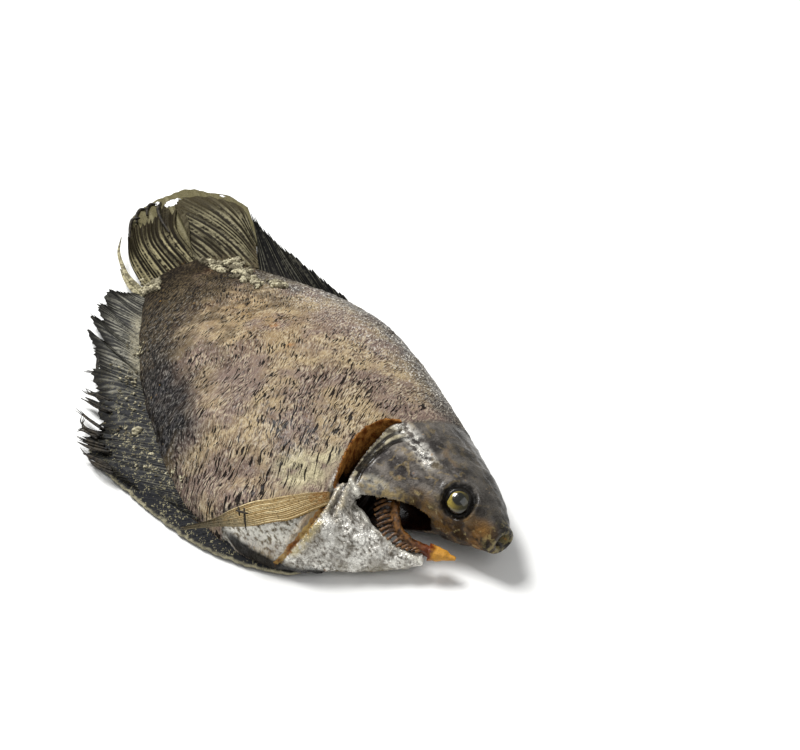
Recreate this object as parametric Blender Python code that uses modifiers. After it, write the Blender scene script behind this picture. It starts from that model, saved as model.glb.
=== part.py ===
"""A whole dried snakeskin gourami, lying on its left side with its right side up.

Metres, +Z up, +X towards the snout, +Y towards the back of the fish. The origin is the middle
of the fish's outline, on the surface that it lies on.

The shapes are written in the fish's own millimetres: s runs from the snout towards the tail,
v from the midline towards the back, and z is the height over the surface.
"""

import math
import random

import bmesh
import bpy
import numpy as np
from mathutils import Vector

MM = 0.001
SEED = 11

# Sizes in millimetres
GAP = 0.35  # between separate pieces
FIN_THICKNESS = 0.9
RAY_RELIEF = 0.25
TRUNK_STATIONS = 40
TRUNK_SIDES = 28
LOBE_SIDES = 16
EYE_RADIUS = 3.2
EYE_DEPTH = 2.1  # half the thickness of the dried, sunken eye
EYE_RIM_RADIUS = 3.55
EYE_RIM_WIRE = 0.65
EYE_RIM_LIFT = 1.0
EYE_UPPER = (12.3, -5.0, 15.2)
EYE_LOWER = (12.8, -3.2, 3.9)
EYE_TILT = math.radians(27)  # how far each eye looks down towards the belly and the snout

# The trunk and the head: limits of the cross-section, each a list of (s, value)
BACK = [(0, 1.2), (4, 4.0), (9, 6.9), (17, 9.8), (26, 12.9), (36, 16.2), (50, 20.4), (66, 24.6),
        (86, 28.2), (103, 27.6), (118, 24.2), (134, 19.8), (146, 16.0), (158, 11.5)]
BELLY = [(0, -4.4), (5, -6.8), (10, -8.6), (15, -11.3), (20, -15.8), (25, -21.5), (30, -29), (36, -37),
         (44, -45.5), (53, -51.5), (63, -53.2), (76, -51.2), (92, -46.6), (108, -41.6), (122, -36),
         (136, -29), (147, -22.5), (158, -14.5)]
CREST = [(0, -1.5), (12, -2), (22, -4), (34, -6), (60, -5), (100, -3), (158, -1)]
TOP = [(0, 12.2), (4, 14.2), (11, 17.2), (20, 19.4), (32, 22.2), (48, 23.8), (66, 24), (90, 21.8),
       (114, 17.6), (136, 12.6), (158, 8.6)]
BOTTOM = [(0, 6.2), (5, 4.4), (11, 2.6), (18, 1.0), (27, -0.6), (128, -0.6), (142, 0.4), (158, 2.6)]
BACK_EDGE = [(0, 8.4), (20, 10), (60, 11), (110, 9), (158, 5.8)]
BELLY_EDGE = [(0, 8.2), (10, 8.6), (17, 11.5), (23, 14.5), (29, 14), (36, 8.5), (46, 4.6), (110, 4.4),
              (158, 5.6)]
DOME_GAIN = 0.2  # the upper side is an ellipse at the snout and slightly more peaked behind
SOLE_LOSS = 0.45  # the lower side turns from an ellipse to a flat sole with round edges
FILLING_OUT = (8.0, 38.0)  # the stretch of s over which both change
MOUTH_RINGS = [(3.2, 0.20), (1.6, 0.36), (0.4, 0.50), (0.0, 0.68), (0.5, 0.92), (1.4, 1.0)]
SNOUT_LENGTH = 1.8
TAIL_ROOT = 156.0
TAIL_RINGS = [(157.4, 0.94), (158.8, 0.8), (159.8, 0.5)]

# The breast under the gill: s, v, half width, crest height, bottom height, inner edge, outer edge
BREAST = [(62, -45.5, 6.5, 12.0, 0.6, 9.0, 3.6), (50, -43.5, 8.8, 15.0, 0.2, 11.5, 3.4),
          (40, -39.5, 9.6, 17.0, 0.0, 14.5, 3.2), (32, -34.2, 9.0, 17.0, 0.0, 15.5, 3.2),
          (25, -29.4, 6.4, 13.4, 0.2, 12.6, 3.2), (19, -25.6, 3.9, 10.0, 0.8, 9.2, 3.4),
          (14, -21.2, 2.2, 7.4, 1.8, 6.8, 3.8), (10.2, -17.4, 1.2, 6.4, 3.2, 5.4, 4.4)]
# The fold of skin that ties the breast to the gill cover's rear corner: s, v, z and its radii
HINGE_FOLD = [(38.0, -31.5, 13.0), (34.0, -28.6, 13.4), (31.2, -26.0, 13.6), (29.6, -23.6, 13.4)]
HINGE_RADII = [2.6, 3.3, 3.3, 2.7]

# The gill chamber under the gill cover: s, outer v, inner v, roof, floor
CHAMBER = [(15.5, -22, -9.5, 12.4, 5.4), (19, -26, -8.5, 15.0, 4.2), (24, -30, -8.0, 17.0, 3.4),
           (29, -32, -8.0, 18.2, 3.4), (34, -29, -9.0, 18.8, 4.2), (37, -24, -11.0, 18.0, 6.0)]
CHAMBER_SIDES = 14

# The slit behind the gill cover: s, v and width along it
SLIT = [(36.6, -3.6, 0.8), (38.4, -7.2, 3.0), (37.9, -12.2, 4.8), (35.9, -18.0, 4.6),
        (32.9, -24.0, 3.2), (30.8, -28.2, 1.6)]
SLIT_TOP = 30.0
SLIT_FLOOR = 11.5

# The gill arch and its rakers: s, v, z of the arch, then of the rakers' outer ends
ARCH = [(25.0, -13.5, 14.2), (22.6, -16.2, 13.0), (20.0, -18.2, 11.4), (17.2, -19.0, 9.8),
        (14.2, -18.2, 8.2), (11.6, -16.6, 7.2), (9.6, -15.4, 6.6)]
RAKER_ENDS = [(27.2, -18.2, 13.4), (24.4, -21.0, 12.4), (21.4, -22.6, 11.2), (18.2, -23.0, 9.8),
              (15.0, -21.8, 8.4), (12.8, -19.8, 7.6), (10.8, -18.0, 7.2)]
RAKER_COUNT = 15
RAKER_STRETCH = (0.04, 0.94)  # the part of the arch that carries rakers
ARCH_RADIUS = 1.15
RAKER_RADII = (0.47, 0.25)
TONGUE = [(10.2, -15.6, 6.6), (8.4, -14.2, 6.4), (6.6, -12.8, 6.2), (4.9, -11.7, 6.0)]
TONGUE_RADII = [2.3, 1.9, 1.1, 0.45]

# The fins: a base line and a line through the tips of the rays, each of s, v, z
ANAL_BASE = [(50, -49.5, 3.4), (64, -51.6, 3.6), (78, -49.4, 3.8), (92, -45.2, 4.0),
             (108, -40.0, 4.0), (122, -34.4, 4.2), (136, -27.2, 4.6), (152, -16.5, 5.2)]
ANAL_TIPS = [(66, -57.6, 2.2), (80, -61.2, 2.2), (93, -63.4, 2.6), (106, -60.4, 3.2),
             (118, -54.4, 3.6), (130, -47.4, 3.4), (141, -42.2, 3.2), (151, -37.2, 3.6),
             (158.5, -31.2, 4.2), (163.5, -24.8, 4.8), (158, -17.8, 5.0)]
DORSAL_BASE = [(97, 25.2, 9.4), (112, 23.6, 9.0), (126, 20.0, 8.4), (141, 15.6, 7.8)]
DORSAL_TIPS = [(107, 27.6, 10.4), (120, 28.2, 10.8), (134, 28.0, 11.2), (148, 27.8, 11.6),
               (160, 29.2, 11.8), (171, 31.2, 11.8), (157, 25.6, 10.6)]
TAIL_LOW_BASE = [(151, -17.5, 5.0), (155, -11.0, 5.4), (156.5, -3.0, 5.8), (156, 5.0, 6.4)]
TAIL_LOW_TIPS = [(166, -16.4, 5.0), (177, -12.0, 6.4), (185.5, -7.6, 8.6), (190.5, -1.0, 11.0),
                 (190.5, 5.6, 12.6), (185, 12.0, 13.4)]
TAIL_HIGH_BASE = [(158, 1.0, 7.8), (155, 7.0, 8.2), (150, 12.0, 8.4), (142, 16.4, 8.4)]
TAIL_HIGH_TIPS = [(183, 13.6, 14.8), (191, 11.2, 14.4), (195, 15.4, 14.0), (192.5, 21.4, 13.4),
                  (187, 27.0, 12.8), (178, 30.6, 12.0), (166, 29.0, 10.8)]
PECTORAL_BASE = [(30.0, -30.2, 17.4), (29.2, -33.8, 16.0)]
PECTORAL_TIPS = [(54.0, -58.6, 5.6), (53.0, -59.0, 5.4), (45.6, -53.4, 7.2)]
PECTORAL_BOW = 2.6  # how far its middle stands over the straight line from root to tip
LOOSE_RAY = [(152, -18.0, 5.0), (160, -19.4, 4.2), (168, -18.6, 4.4), (176, -16.8, 5.0),
             (184, -15.0, 6.2)]
LOOSE_RAY_RADII = [1.0, 0.8, 0.3]

# Dried crumbs that cling to the skin: centre s, v and z, reach along s and v, and their number
CRUMB_BEDS = [((154.5, -16.0, 6.4), (5.5, 2.6), 12), ((154.0, 7.6, 9.6), (4.0, 4.4), 12),
              ((144.0, 12.2, 9.6), (7.0, 3.0), 16), ((128.5, 15.6, 11.4), (7.0, 1.8), 10),
              ((118.0, -37.6, 5.2), (12.0, 2.0), 9), ((90.0, -49.0, 4.9), (14.0, 1.8), 8)]
CRUMB_RADII = (0.7, 1.3)
CRUMB_SQUASH = (0.7, 1.2)
CRUMB_LIFT = 0.2  # how far a crumb's centre stands over the skin, as a share of its radius
CRUMB_BED_DROP = 1.2  # how far under its named height a bed may lie where there is only a fin


def curve(points, s):
    """Smooth curve through (s, value) points, read at each s."""
    knots, values = np.array(points, float).T
    slopes = np.gradient(values, knots)
    first = np.clip(np.searchsorted(knots, s) - 1, 0, len(knots) - 2)
    span = knots[first + 1] - knots[first]
    t = np.clip((s - knots[first]) / span, 0, 1)
    start = (1 + 2 * t) * (1 - t) ** 2 * values[first] + t * (1 - t) ** 2 * span * slopes[first]
    end = t * t * (3 - 2 * t) * values[first + 1] - t * t * (1 - t) * span * slopes[first + 1]
    return start + end


def route(points, u):
    """Smooth line through points of any number of coordinates, read at u from 0 to 1."""
    table = np.array(points, float)
    along = np.linspace(0, 1, len(table))
    return np.stack([curve(np.stack([along, column], 1), u) for column in table.T], -1)


def to_metres(fish):
    """Fish millimetres (s, v, z) as metres in the frame of the fish."""
    s, v, z = np.moveaxis(np.asarray(fish, float), -1, 0)
    return np.stack([-s, v, z], -1) * MM


def link(name, mesh, collection):
    """An object made of a mesh, with its faces turned out and shaded smooth."""
    shell = bmesh.new()
    shell.from_mesh(mesh)
    bmesh.ops.recalc_face_normals(shell, faces=shell.faces)
    shell.to_mesh(mesh)
    shell.free()
    mesh.shade_smooth()
    made = bpy.data.objects.new(name, mesh)
    collection.objects.link(made)
    return made


def loft(name, rings, collection):
    """A closed solid through rings of points, in fish millimetres, with flat ends."""
    rings = to_metres(rings)
    sides = rings.shape[1]
    shell = bmesh.new()
    rows = [[shell.verts.new(point) for point in ring] for ring in rings]
    for near, far in zip(rows, rows[1:]):
        for i in range(sides):
            j = (i + 1) % sides
            shell.faces.new((near[i], near[j], far[j], far[i]))
    shell.faces.new(rows[0])
    shell.faces.new(rows[-1])
    mesh = bpy.data.meshes.new(name)
    shell.to_mesh(mesh)
    shell.free()
    return link(name, mesh, collection)


def cross_section(sides, outer, inner, crest, top, bottom, outer_edge, inner_edge, dome, sole):
    """Closed outline (v, z): a domed upper side over a flatter lower side.

    It runs from inner to outer, which are its limits along v. The two edges and the crest give
    the heights there. dome and sole are powers: 1 is an ellipse, less is a fuller side.
    """
    turn = np.linspace(0, 2 * math.pi, sides, endpoint=False)
    across, up = np.cos(turn), np.sin(turn)
    v = crest + np.where(across > 0, (inner - crest) * across, (crest - outer) * across)
    share = (v - outer) / (inner - outer)
    edge = outer_edge + (inner_edge - outer_edge) * share
    rise = (top - edge) * np.abs(up) ** dome
    drop = (edge - bottom) * np.abs(up) ** sole
    return v, np.maximum(edge + np.where(up > 0, rise, -drop), 0)


def fullness(s):
    """0 at the snout and 1 on the trunk, in proportion between."""
    start, end = FILLING_OUT
    return np.clip((s - start) / (end - start), 0, 1)


def trunk_ring(s, scale=1.0, at=None):
    """Ring of the trunk at s, drawn in to a scale about its own middle and put at another s."""
    v, z = cross_section(TRUNK_SIDES, curve(BELLY, s), curve(BACK, s), curve(CREST, s),
                         curve(TOP, s), curve(BOTTOM, s), curve(BELLY_EDGE, s),
                         curve(BACK_EDGE, s), 1 + DOME_GAIN * fullness(s), 1 - SOLE_LOSS * fullness(s))
    middle_v = (v.min() + v.max()) / 2
    middle_z = (z.min() + z.max()) / 2
    place = np.full_like(v, s if at is None else at)
    return np.stack([place, middle_v + (v - middle_v) * scale, middle_z + (z - middle_z) * scale], -1)


def flank_height(s, v):
    """Height of the upper side of the trunk at s and v."""
    outer, inner, crest = curve(BELLY, s), curve(BACK, s), curve(CREST, s)
    across = np.where(v > crest, (v - crest) / (inner - crest), (v - crest) / (crest - outer))
    outer_edge, inner_edge = curve(BELLY_EDGE, s), curve(BACK_EDGE, s)
    edge = outer_edge + (inner_edge - outer_edge) * np.clip((v - outer) / (inner - outer), 0, 1)
    lift = np.clip(1 - across ** 2, 0, 1) ** ((1 + DOME_GAIN * fullness(s)) / 2)
    return edge + (curve(TOP, s) - edge) * lift


def make_trunk(collection):
    """Head and trunk, from the small open mouth to the root of the tail."""
    rings = [trunk_ring(SNOUT_LENGTH, scale, at) for at, scale in MOUTH_RINGS]
    steps = np.linspace(0, 1, TRUNK_STATIONS) ** 1.25
    rings += [trunk_ring(s) for s in SNOUT_LENGTH + 0.8 + (TAIL_ROOT - SNOUT_LENGTH - 0.8) * steps]
    rings += [trunk_ring(TAIL_ROOT, scale, at) for at, scale in TAIL_RINGS]
    return loft("gourami_body", np.array(rings), collection)


def make_breast(collection):
    """The silvery breast, from the belly to the narrow throat that has come away from the jaw."""
    rings = []
    for u in np.linspace(0, 1, 20):
        s, v, half, top, bottom, inner_edge, outer_edge = route(BREAST, u)
        ahead, behind = route(BREAST, min(u + 0.01, 1)), route(BREAST, max(u - 0.01, 0))
        heading = (ahead - behind)[:2]
        normal = np.array([heading[1], -heading[0]]) / np.linalg.norm(heading)
        across, z = cross_section(LOBE_SIDES, -half, half, half * 0.35, top, bottom, outer_edge,
                                  inner_edge, 1.0, 0.6)
        place = np.array([s, v]) + across[:, None] * normal
        rings.append(np.column_stack([place, z]))
    return loft("breast", np.array(rings), collection)


def make_chamber(collection):
    """The hollow under the gill cover, open towards the breast."""
    rings = []
    for u in np.linspace(0, 1, 12):
        s, outer, inner, roof, floor = route(CHAMBER, u)
        middle = (roof + floor) / 2
        v, z = cross_section(CHAMBER_SIDES, outer, inner, (outer + inner) / 2, roof, floor,
                             middle, middle, 0.6, 0.6)
        rings.append(np.column_stack([np.full_like(v, s), v, z]))
    return loft("chamber", np.array(rings), collection)


def make_slit(collection):
    """The crescent slit behind the gill cover."""
    rings = []
    for u in np.linspace(0, 1, 14):
        s, v, width = route(SLIT, u)
        ahead, behind = route(SLIT, min(u + 0.02, 1)), route(SLIT, max(u - 0.02, 0))
        heading = (ahead - behind)[:2]
        side = np.array([-heading[1], heading[0]]) / np.linalg.norm(heading) * width / 2
        corners = [(side, SLIT_TOP), (side * 0.8, SLIT_FLOOR), (-side, SLIT_FLOOR), (-side, SLIT_TOP)]
        rings.append([(s + move[0], v + move[1], z) for move, z in corners])
    return loft("slit", np.array(rings), collection)


def make_fin(name, base, tips, rays, rows, ragged, collection, bow=0.0):
    """A fin: a thin ridged sheet from its base line to the ragged tips of its rays.

    Every second column is a ray, which stands proud and runs on past the skin between the rays.
    """
    draw = random.Random(SEED + rays)
    columns = 2 * rays + 1
    shell = bmesh.new()
    grid = []
    for i in range(columns):
        u = i / (columns - 1)
        root, tip = route(base, u), route(tips, u)
        on_ray = i % 2 == 1
        reach = 1 + ragged * draw.uniform(0, 0.5) if on_ray else 1 - ragged * draw.uniform(0.4, 1.0)
        line = []
        for w in np.linspace(0, 1, rows):
            point = root + (tip - root) * w * (reach if w > 0.5 else 1)
            point[2] += bow * math.sin(math.pi * w) + (RAY_RELIEF if on_ray else -RAY_RELIEF)
            line.append(shell.verts.new(to_metres(point)))
        grid.append(line)
    for near, far in zip(grid, grid[1:]):
        for j in range(rows - 1):
            shell.faces.new((near[j], near[j + 1], far[j + 1], far[j]))
    mesh = bpy.data.meshes.new(name)
    shell.to_mesh(mesh)
    shell.free()
    fin = link(name, mesh, collection)
    skin = fin.modifiers.new("Solidify", "SOLIDIFY")
    skin.thickness = FIN_THICKNESS * MM
    skin.offset = 0
    return fin


def make_tube(name, points, radii, collection, samples=12, roundness=1):
    """A tapering tube along a smooth line, with filled ends welded into one closed mesh."""
    line = bpy.data.curves.new(name, "CURVE")
    line.dimensions = "3D"
    line.bevel_depth = MM
    line.bevel_resolution = roundness
    line.use_fill_caps = True
    spline = line.splines.new("POLY")
    spline.points.add(samples - 1)
    places = np.linspace(0, 1, samples)
    sizes = np.interp(places, np.linspace(0, 1, len(radii)), radii)
    for point, place, size in zip(spline.points, to_metres(route(points, places)), sizes):
        point.co = (*place, 1)
        point.radius = size
    guide = bpy.data.objects.new(name, line)
    collection.objects.link(guide)
    mesh = bpy.data.meshes.new_from_object(guide.evaluated_get(bpy.context.evaluated_depsgraph_get()))
    bpy.data.objects.remove(guide)
    shell = bmesh.new()
    shell.from_mesh(mesh)
    bmesh.ops.remove_doubles(shell, verts=shell.verts, dist=1e-6)
    shell.to_mesh(mesh)
    shell.free()
    return link(name, mesh, collection)


def make_ball(name, centre, radii, collection, facing=(0, 0, 1), segments=18, rings=10):
    """A ball or an egg shape at a place in fish millimetres, its own Z axis turned to facing."""
    shell = bmesh.new()
    bmesh.ops.create_uvsphere(shell, u_segments=segments, v_segments=rings, radius=MM)
    bmesh.ops.scale(shell, vec=radii, verts=shell.verts)
    turn = Vector(facing).to_track_quat("Z", "Y").to_matrix()
    bmesh.ops.rotate(shell, cent=(0, 0, 0), matrix=turn, verts=shell.verts)
    bmesh.ops.translate(shell, vec=Vector(to_metres(centre)), verts=shell.verts)
    mesh = bpy.data.meshes.new(name)
    shell.to_mesh(mesh)
    shell.free()
    return link(name, mesh, collection)


def make_crumbs(collection):
    """Dried crumbs, half sunk in the skin and the fin roots."""
    draw = random.Random(SEED)
    crumbs = []
    for (s, v, z), (reach_s, reach_v), count in CRUMB_BEDS:
        for _ in range(count):
            place = (s + draw.uniform(-1, 1) * reach_s, v + draw.uniform(-1, 1) * reach_v)
            shell = bmesh.new()
            radius = draw.uniform(*CRUMB_RADII)
            bmesh.ops.create_icosphere(shell, subdivisions=1, radius=radius * MM)
            squash = [draw.uniform(*CRUMB_SQUASH) for _ in range(3)]
            bmesh.ops.scale(shell, vec=squash, verts=shell.verts)
            bed = max(flank_height(*place), z - CRUMB_BED_DROP)
            sunk = (*place, bed + radius * CRUMB_LIFT)
            bmesh.ops.translate(shell, vec=Vector(to_metres(sunk)), verts=shell.verts)
            mesh = bpy.data.meshes.new("crumb")
            shell.to_mesh(mesh)
            shell.free()
            crumbs.append(link("crumb", mesh, collection))
    return crumbs


def make_eye_rim(centre, facing, collection):
    """The raised ring of skin round an eye."""
    bpy.ops.mesh.primitive_torus_add(major_segments=20, minor_segments=8,
                                     major_radius=EYE_RIM_RADIUS * MM, minor_radius=EYE_RIM_WIRE * MM)
    rim = bpy.context.object
    rim.name = "eye_rim"
    for home in list(rim.users_collection):
        home.objects.unlink(rim)
    collection.objects.link(rim)
    rim.location = to_metres(centre) + np.array(facing) * EYE_RIM_LIFT * MM
    rim.rotation_euler = Vector(facing).to_track_quat("Z", "Y").to_euler()
    return rim


def combine(target, tools, operation):
    """Join tools to the target, or cut them out of it, and remove them."""
    group = bpy.data.collections.new("tools")
    for tool in tools:
        group.objects.link(tool)
    step = target.modifiers.new(operation, "BOOLEAN")
    step.operation = operation
    step.operand_type = "COLLECTION"
    step.collection = group
    step.solver = "MANIFOLD"
    bpy.context.view_layer.update()
    result = target.evaluated_get(bpy.context.evaluated_depsgraph_get())
    mesh = bpy.data.meshes.new_from_object(result)
    target.modifiers.clear()
    target.data = mesh
    for tool in tools:
        bpy.data.objects.remove(tool)
    bpy.data.collections.remove(group)


def finish_mesh(piece, material):
    """One material and smooth shading that keeps the sharp rims."""
    piece.data.materials.clear()
    piece.data.materials.append(material)
    for face in piece.data.polygons:
        face.material_index = 0
    piece.data.shade_smooth()
    piece.data.set_sharp_from_angle(angle=math.radians(50))


def drop_scraps(piece):
    """Keep only the largest connected shell of a piece."""
    shell = bmesh.new()
    shell.from_mesh(piece.data)
    waiting = set(shell.verts)
    islands = []
    while waiting:
        island = [waiting.pop()]
        for vert in island:
            for edge in vert.link_edges:
                other = edge.other_vert(vert)
                if other in waiting:
                    waiting.remove(other)
                    island.append(other)
        islands.append(island)
    islands.sort(key=len)
    for scrap in islands[:-1]:
        bmesh.ops.delete(shell, geom=scrap, context="VERTS")
    shell.to_mesh(piece.data)
    shell.free()


def make_material(name, colour, roughness):
    """A plain finish of one colour."""
    material = bpy.data.materials.new(name)
    material.use_nodes = True
    shader = material.node_tree.nodes["Principled BSDF"]
    shader.inputs["Base Color"].default_value = (*colour, 1)
    shader.inputs["Roughness"].default_value = roughness
    shader.inputs["Metallic"].default_value = 0
    return material


def eye_direction(side):
    """Where an eye looks: straight out of its side of the head, tipped to the snout and belly."""
    tipped = math.sin(EYE_TILT) / math.sqrt(2)
    return (tipped, -tipped, side * math.sqrt(1 - 2 * tipped ** 2))


def make_gill_arch(name, collection, cutters, grow=0.0):
    """The gill arch with its comb of rakers, and the torn tip of the tongue bone at its front.

    Grown all round by the gap between pieces, the same shape clears a bed for it in the body.
    """
    arch = make_tube(name, ARCH, [ARCH_RADIUS + grow], collection, samples=14, roundness=2)
    tongue_radii = [radius + grow for radius in TONGUE_RADII]
    parts = [make_tube("tongue", TONGUE, tongue_radii, cutters, samples=7, roundness=2)]
    raker_radii = [radius + grow for radius in RAKER_RADII]
    for u in np.linspace(*RAKER_STRETCH, RAKER_COUNT):
        root, end = route(ARCH, u), route(RAKER_ENDS, u)
        end = end + (end - root) / np.linalg.norm(end - root) * grow
        parts.append(make_tube("raker", [root, end], raker_radii, cutters, samples=3, roundness=0))
    combine(arch, parts, "UNION")
    return arch


def rest_on_origin(pieces, collection):
    """Hang the pieces on an empty that puts the middle of their outline, at its foot, at the origin."""
    corners = np.array([vert.co for piece in pieces for vert in piece.data.vertices])
    low, high = corners.min(0), corners.max(0)
    datum = bpy.data.objects.new("fish_datum", None)
    collection.objects.link(datum)
    datum.location = (-(low[0] + high[0]) / 2, -(low[1] + high[1]) / 2, -low[2])
    for piece in pieces:
        piece.parent = datum


def main():
    for old in list(bpy.data.objects):
        bpy.data.objects.remove(old)
    fish = bpy.data.collections.new("dried_gourami")
    tools = bpy.data.collections.new("cutters")
    for collection in (fish, tools):
        bpy.context.scene.collection.children.link(collection)

    skin = make_material("dried skin", (0.25, 0.2, 0.15), 0.55)
    eye_finish = make_material("dried eye", (0.1, 0.09, 0.04), 0.2)
    gill_finish = make_material("dried gill", (0.2, 0.07, 0.02), 0.4)

    body = make_trunk(fish)
    hollows = [make_chamber(tools), make_slit(tools)]
    combine(body, hollows, "DIFFERENCE")

    additions = [make_breast(tools),
                 make_tube("hinge", HINGE_FOLD, HINGE_RADII, tools, samples=8, roundness=2),
                 make_fin("anal_fin", ANAL_BASE, ANAL_TIPS, 26, 5, 0.16, tools),
                 make_fin("dorsal_fin", DORSAL_BASE, DORSAL_TIPS, 9, 4, 0.12, tools),
                 make_fin("tail_low", TAIL_LOW_BASE, TAIL_LOW_TIPS, 9, 6, 0.07, tools),
                 make_fin("tail_high", TAIL_HIGH_BASE, TAIL_HIGH_TIPS, 10, 6, 0.06, tools),
                 make_fin("pectoral_fin", PECTORAL_BASE, PECTORAL_TIPS, 3, 8, 0.05, tools,
                          bow=PECTORAL_BOW),
                 make_tube("loose_ray", LOOSE_RAY, LOOSE_RAY_RADII, tools, samples=9)]
    additions += make_crumbs(tools)
    combine(body, additions, "UNION")
    drop_scraps(body)

    for name, side, centre in (("eye_right", 1, EYE_UPPER), ("eye_left", -1, EYE_LOWER)):
        facing = eye_direction(side)
        socket = [EYE_RADIUS + GAP, EYE_RADIUS + GAP, EYE_DEPTH + GAP]
        combine(body, [make_eye_rim(centre, facing, tools)], "UNION")
        combine(body, [make_ball("socket", centre, socket, tools, facing)], "DIFFERENCE")
        eye = make_ball(name, centre, [EYE_RADIUS, EYE_RADIUS, EYE_DEPTH], fish, facing)
        finish_mesh(eye, eye_finish)
    combine(body, [make_gill_arch("bed", tools, tools, GAP)], "DIFFERENCE")
    drop_scraps(body)
    finish_mesh(body, skin)
    finish_mesh(make_gill_arch("gill_arch", fish, tools), gill_finish)
    rest_on_origin([piece for piece in fish.objects if piece.type == "MESH"], fish)


main()
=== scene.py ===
# %% [markdown]
# # Dressing a dried fish for its picture
# The frame brings in four plain solids: the fish, its two eyes and the gill arch. This lesson puts the
# surfaces on them that the eye sees: wrinkled skin with oblique scale rows, thin ragged fins, a glossy
# sunken eye and a comb of gill rakers. The frame comes first, because every piece takes its place from it.

# %% load the frame
import math
import random

import bmesh
import bpy
import numpy as np
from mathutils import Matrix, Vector, noise
from mathutils.bvhtree import BVHTree


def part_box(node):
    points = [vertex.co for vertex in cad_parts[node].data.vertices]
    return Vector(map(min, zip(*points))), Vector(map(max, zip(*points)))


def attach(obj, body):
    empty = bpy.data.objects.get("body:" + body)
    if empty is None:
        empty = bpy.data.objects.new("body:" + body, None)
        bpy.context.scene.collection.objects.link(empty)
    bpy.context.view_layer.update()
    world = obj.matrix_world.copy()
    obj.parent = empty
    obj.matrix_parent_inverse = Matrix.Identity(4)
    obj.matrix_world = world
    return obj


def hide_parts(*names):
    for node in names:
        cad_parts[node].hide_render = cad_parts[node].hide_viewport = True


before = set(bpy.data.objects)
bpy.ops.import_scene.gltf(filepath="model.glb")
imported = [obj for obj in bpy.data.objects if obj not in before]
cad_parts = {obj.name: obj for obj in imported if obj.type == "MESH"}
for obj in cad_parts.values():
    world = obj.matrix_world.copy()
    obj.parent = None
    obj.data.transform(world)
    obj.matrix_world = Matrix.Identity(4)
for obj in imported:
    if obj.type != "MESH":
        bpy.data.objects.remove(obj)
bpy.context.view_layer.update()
print("solids in the frame:", sorted(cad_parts))

# %% [markdown]
# ## The fish's own ruler
# It is easier to think in the fish's own millimetres: s runs from the snout towards the tail, v from the
# midline up towards the back, and z is the height over the table. The solids already lie somewhere in the
# frame, so the ruler is laid against one known spot, the middle of the right eye.

# %% fish millimetres to frame metres
MM = 0.001
EYE_RIGHT = (12.3, -5.0, 15.2)
EYE_LEFT = (12.8, -3.2, 3.9)


def to_metres(fish, shift=(0, 0, 0)):
    """Fish millimetres (s, v, z) as metres, moved by a shift."""
    s, v, z = np.moveaxis(np.asarray(fish, float), -1, 0)
    return np.stack([-s, v, z], -1) * MM + np.array(shift)


SHIFT = np.mean(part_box("eye_right"), 0) - to_metres(EYE_RIGHT)


def place(fish):
    """Fish millimetres as a place in the frame."""
    return to_metres(fish, SHIFT)


def to_fish(metres):
    """A place in the frame as fish millimetres."""
    return (np.asarray(metres) - SHIFT) / MM * (-1, 1, 1)


print("the snout lies at", place((0, 0, 0)).round(4))

# %% [markdown]
# ## Smooth curves and smooth steps
# A fish has no straight lines, so every outline is a handful of measured points with a smooth curve
# through them. Two helpers read such curves. A third, the smooth step, fades one thing into the next, and
# two more give soft noise, at many points or at one.


# %% curves and steps
def curve(points, s):
    """Smooth curve through (s, value) points, read at each s."""
    knots, values = np.array(points, float).T
    slopes = np.gradient(values, knots)
    first = np.clip(np.searchsorted(knots, s) - 1, 0, len(knots) - 2)
    span = knots[first + 1] - knots[first]
    t = np.clip((s - knots[first]) / span, 0, 1)
    start = (1 + 2 * t) * (1 - t) ** 2 * values[first] + t * (1 - t) ** 2 * span * slopes[first]
    end = t * t * (3 - 2 * t) * values[first + 1] - t * t * (1 - t) * span * slopes[first + 1]
    return start + end


def route(points, u):
    """Smooth line through points of any number of coordinates, read at u from 0 to 1."""
    table = np.array(points, float)
    along = np.linspace(0, 1, len(table))
    return np.stack([curve(np.stack([along, column], 1), u) for column in table.T], -1)


def fade(value, low=0.0, high=1.0):
    """0 below low, 1 above high, and a smooth step between. high may be the lower one."""
    t = np.clip((value - low) / (high - low), 0, 1)
    return t * t * (3 - 2 * t)


def rough(points, size, seed=0):
    """Soft noise from -1 to 1 at each point, with lumps of a size given in the points' own unit."""
    scaled = np.asarray(points) / size + seed
    return np.array([noise.noise(Vector(point)) for point in scaled])


def wave(*spot):
    """Soft noise from -1 to 1 at a single place."""
    return noise.noise(Vector(spot))


print("between the heights 4 and 3 a smooth line is at", curve([(0, 0), (10, 4), (20, 3)], 15).round(2))


# %% [markdown]
# ## Closed meshes from rings
# Most pieces are lofts: rings of points with faces between them. A small record of points, faces and
# painted values stands for each, so that hundreds of rays, hairs and crumbs can be joined into one object
# with a single call. The painted values are kept as attributes, which the materials read later.


# %% rings and tubes
def loft(rings):
    """Points and faces of a closed solid through rings, with flat ends."""
    count, sides, _ = rings.shape
    at = np.arange(count * sides).reshape(count, sides)
    beside = np.roll(at, -1, 1)
    faces = np.stack([at[:-1], at[1:], beside[1:], beside[:-1]], -1).reshape(-1, 4).tolist()
    ends = [at[0].tolist(), at[-1, ::-1].tolist()]
    return {"points": rings.reshape(-1, 3), "faces": faces + ends, "paint": {}}


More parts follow.
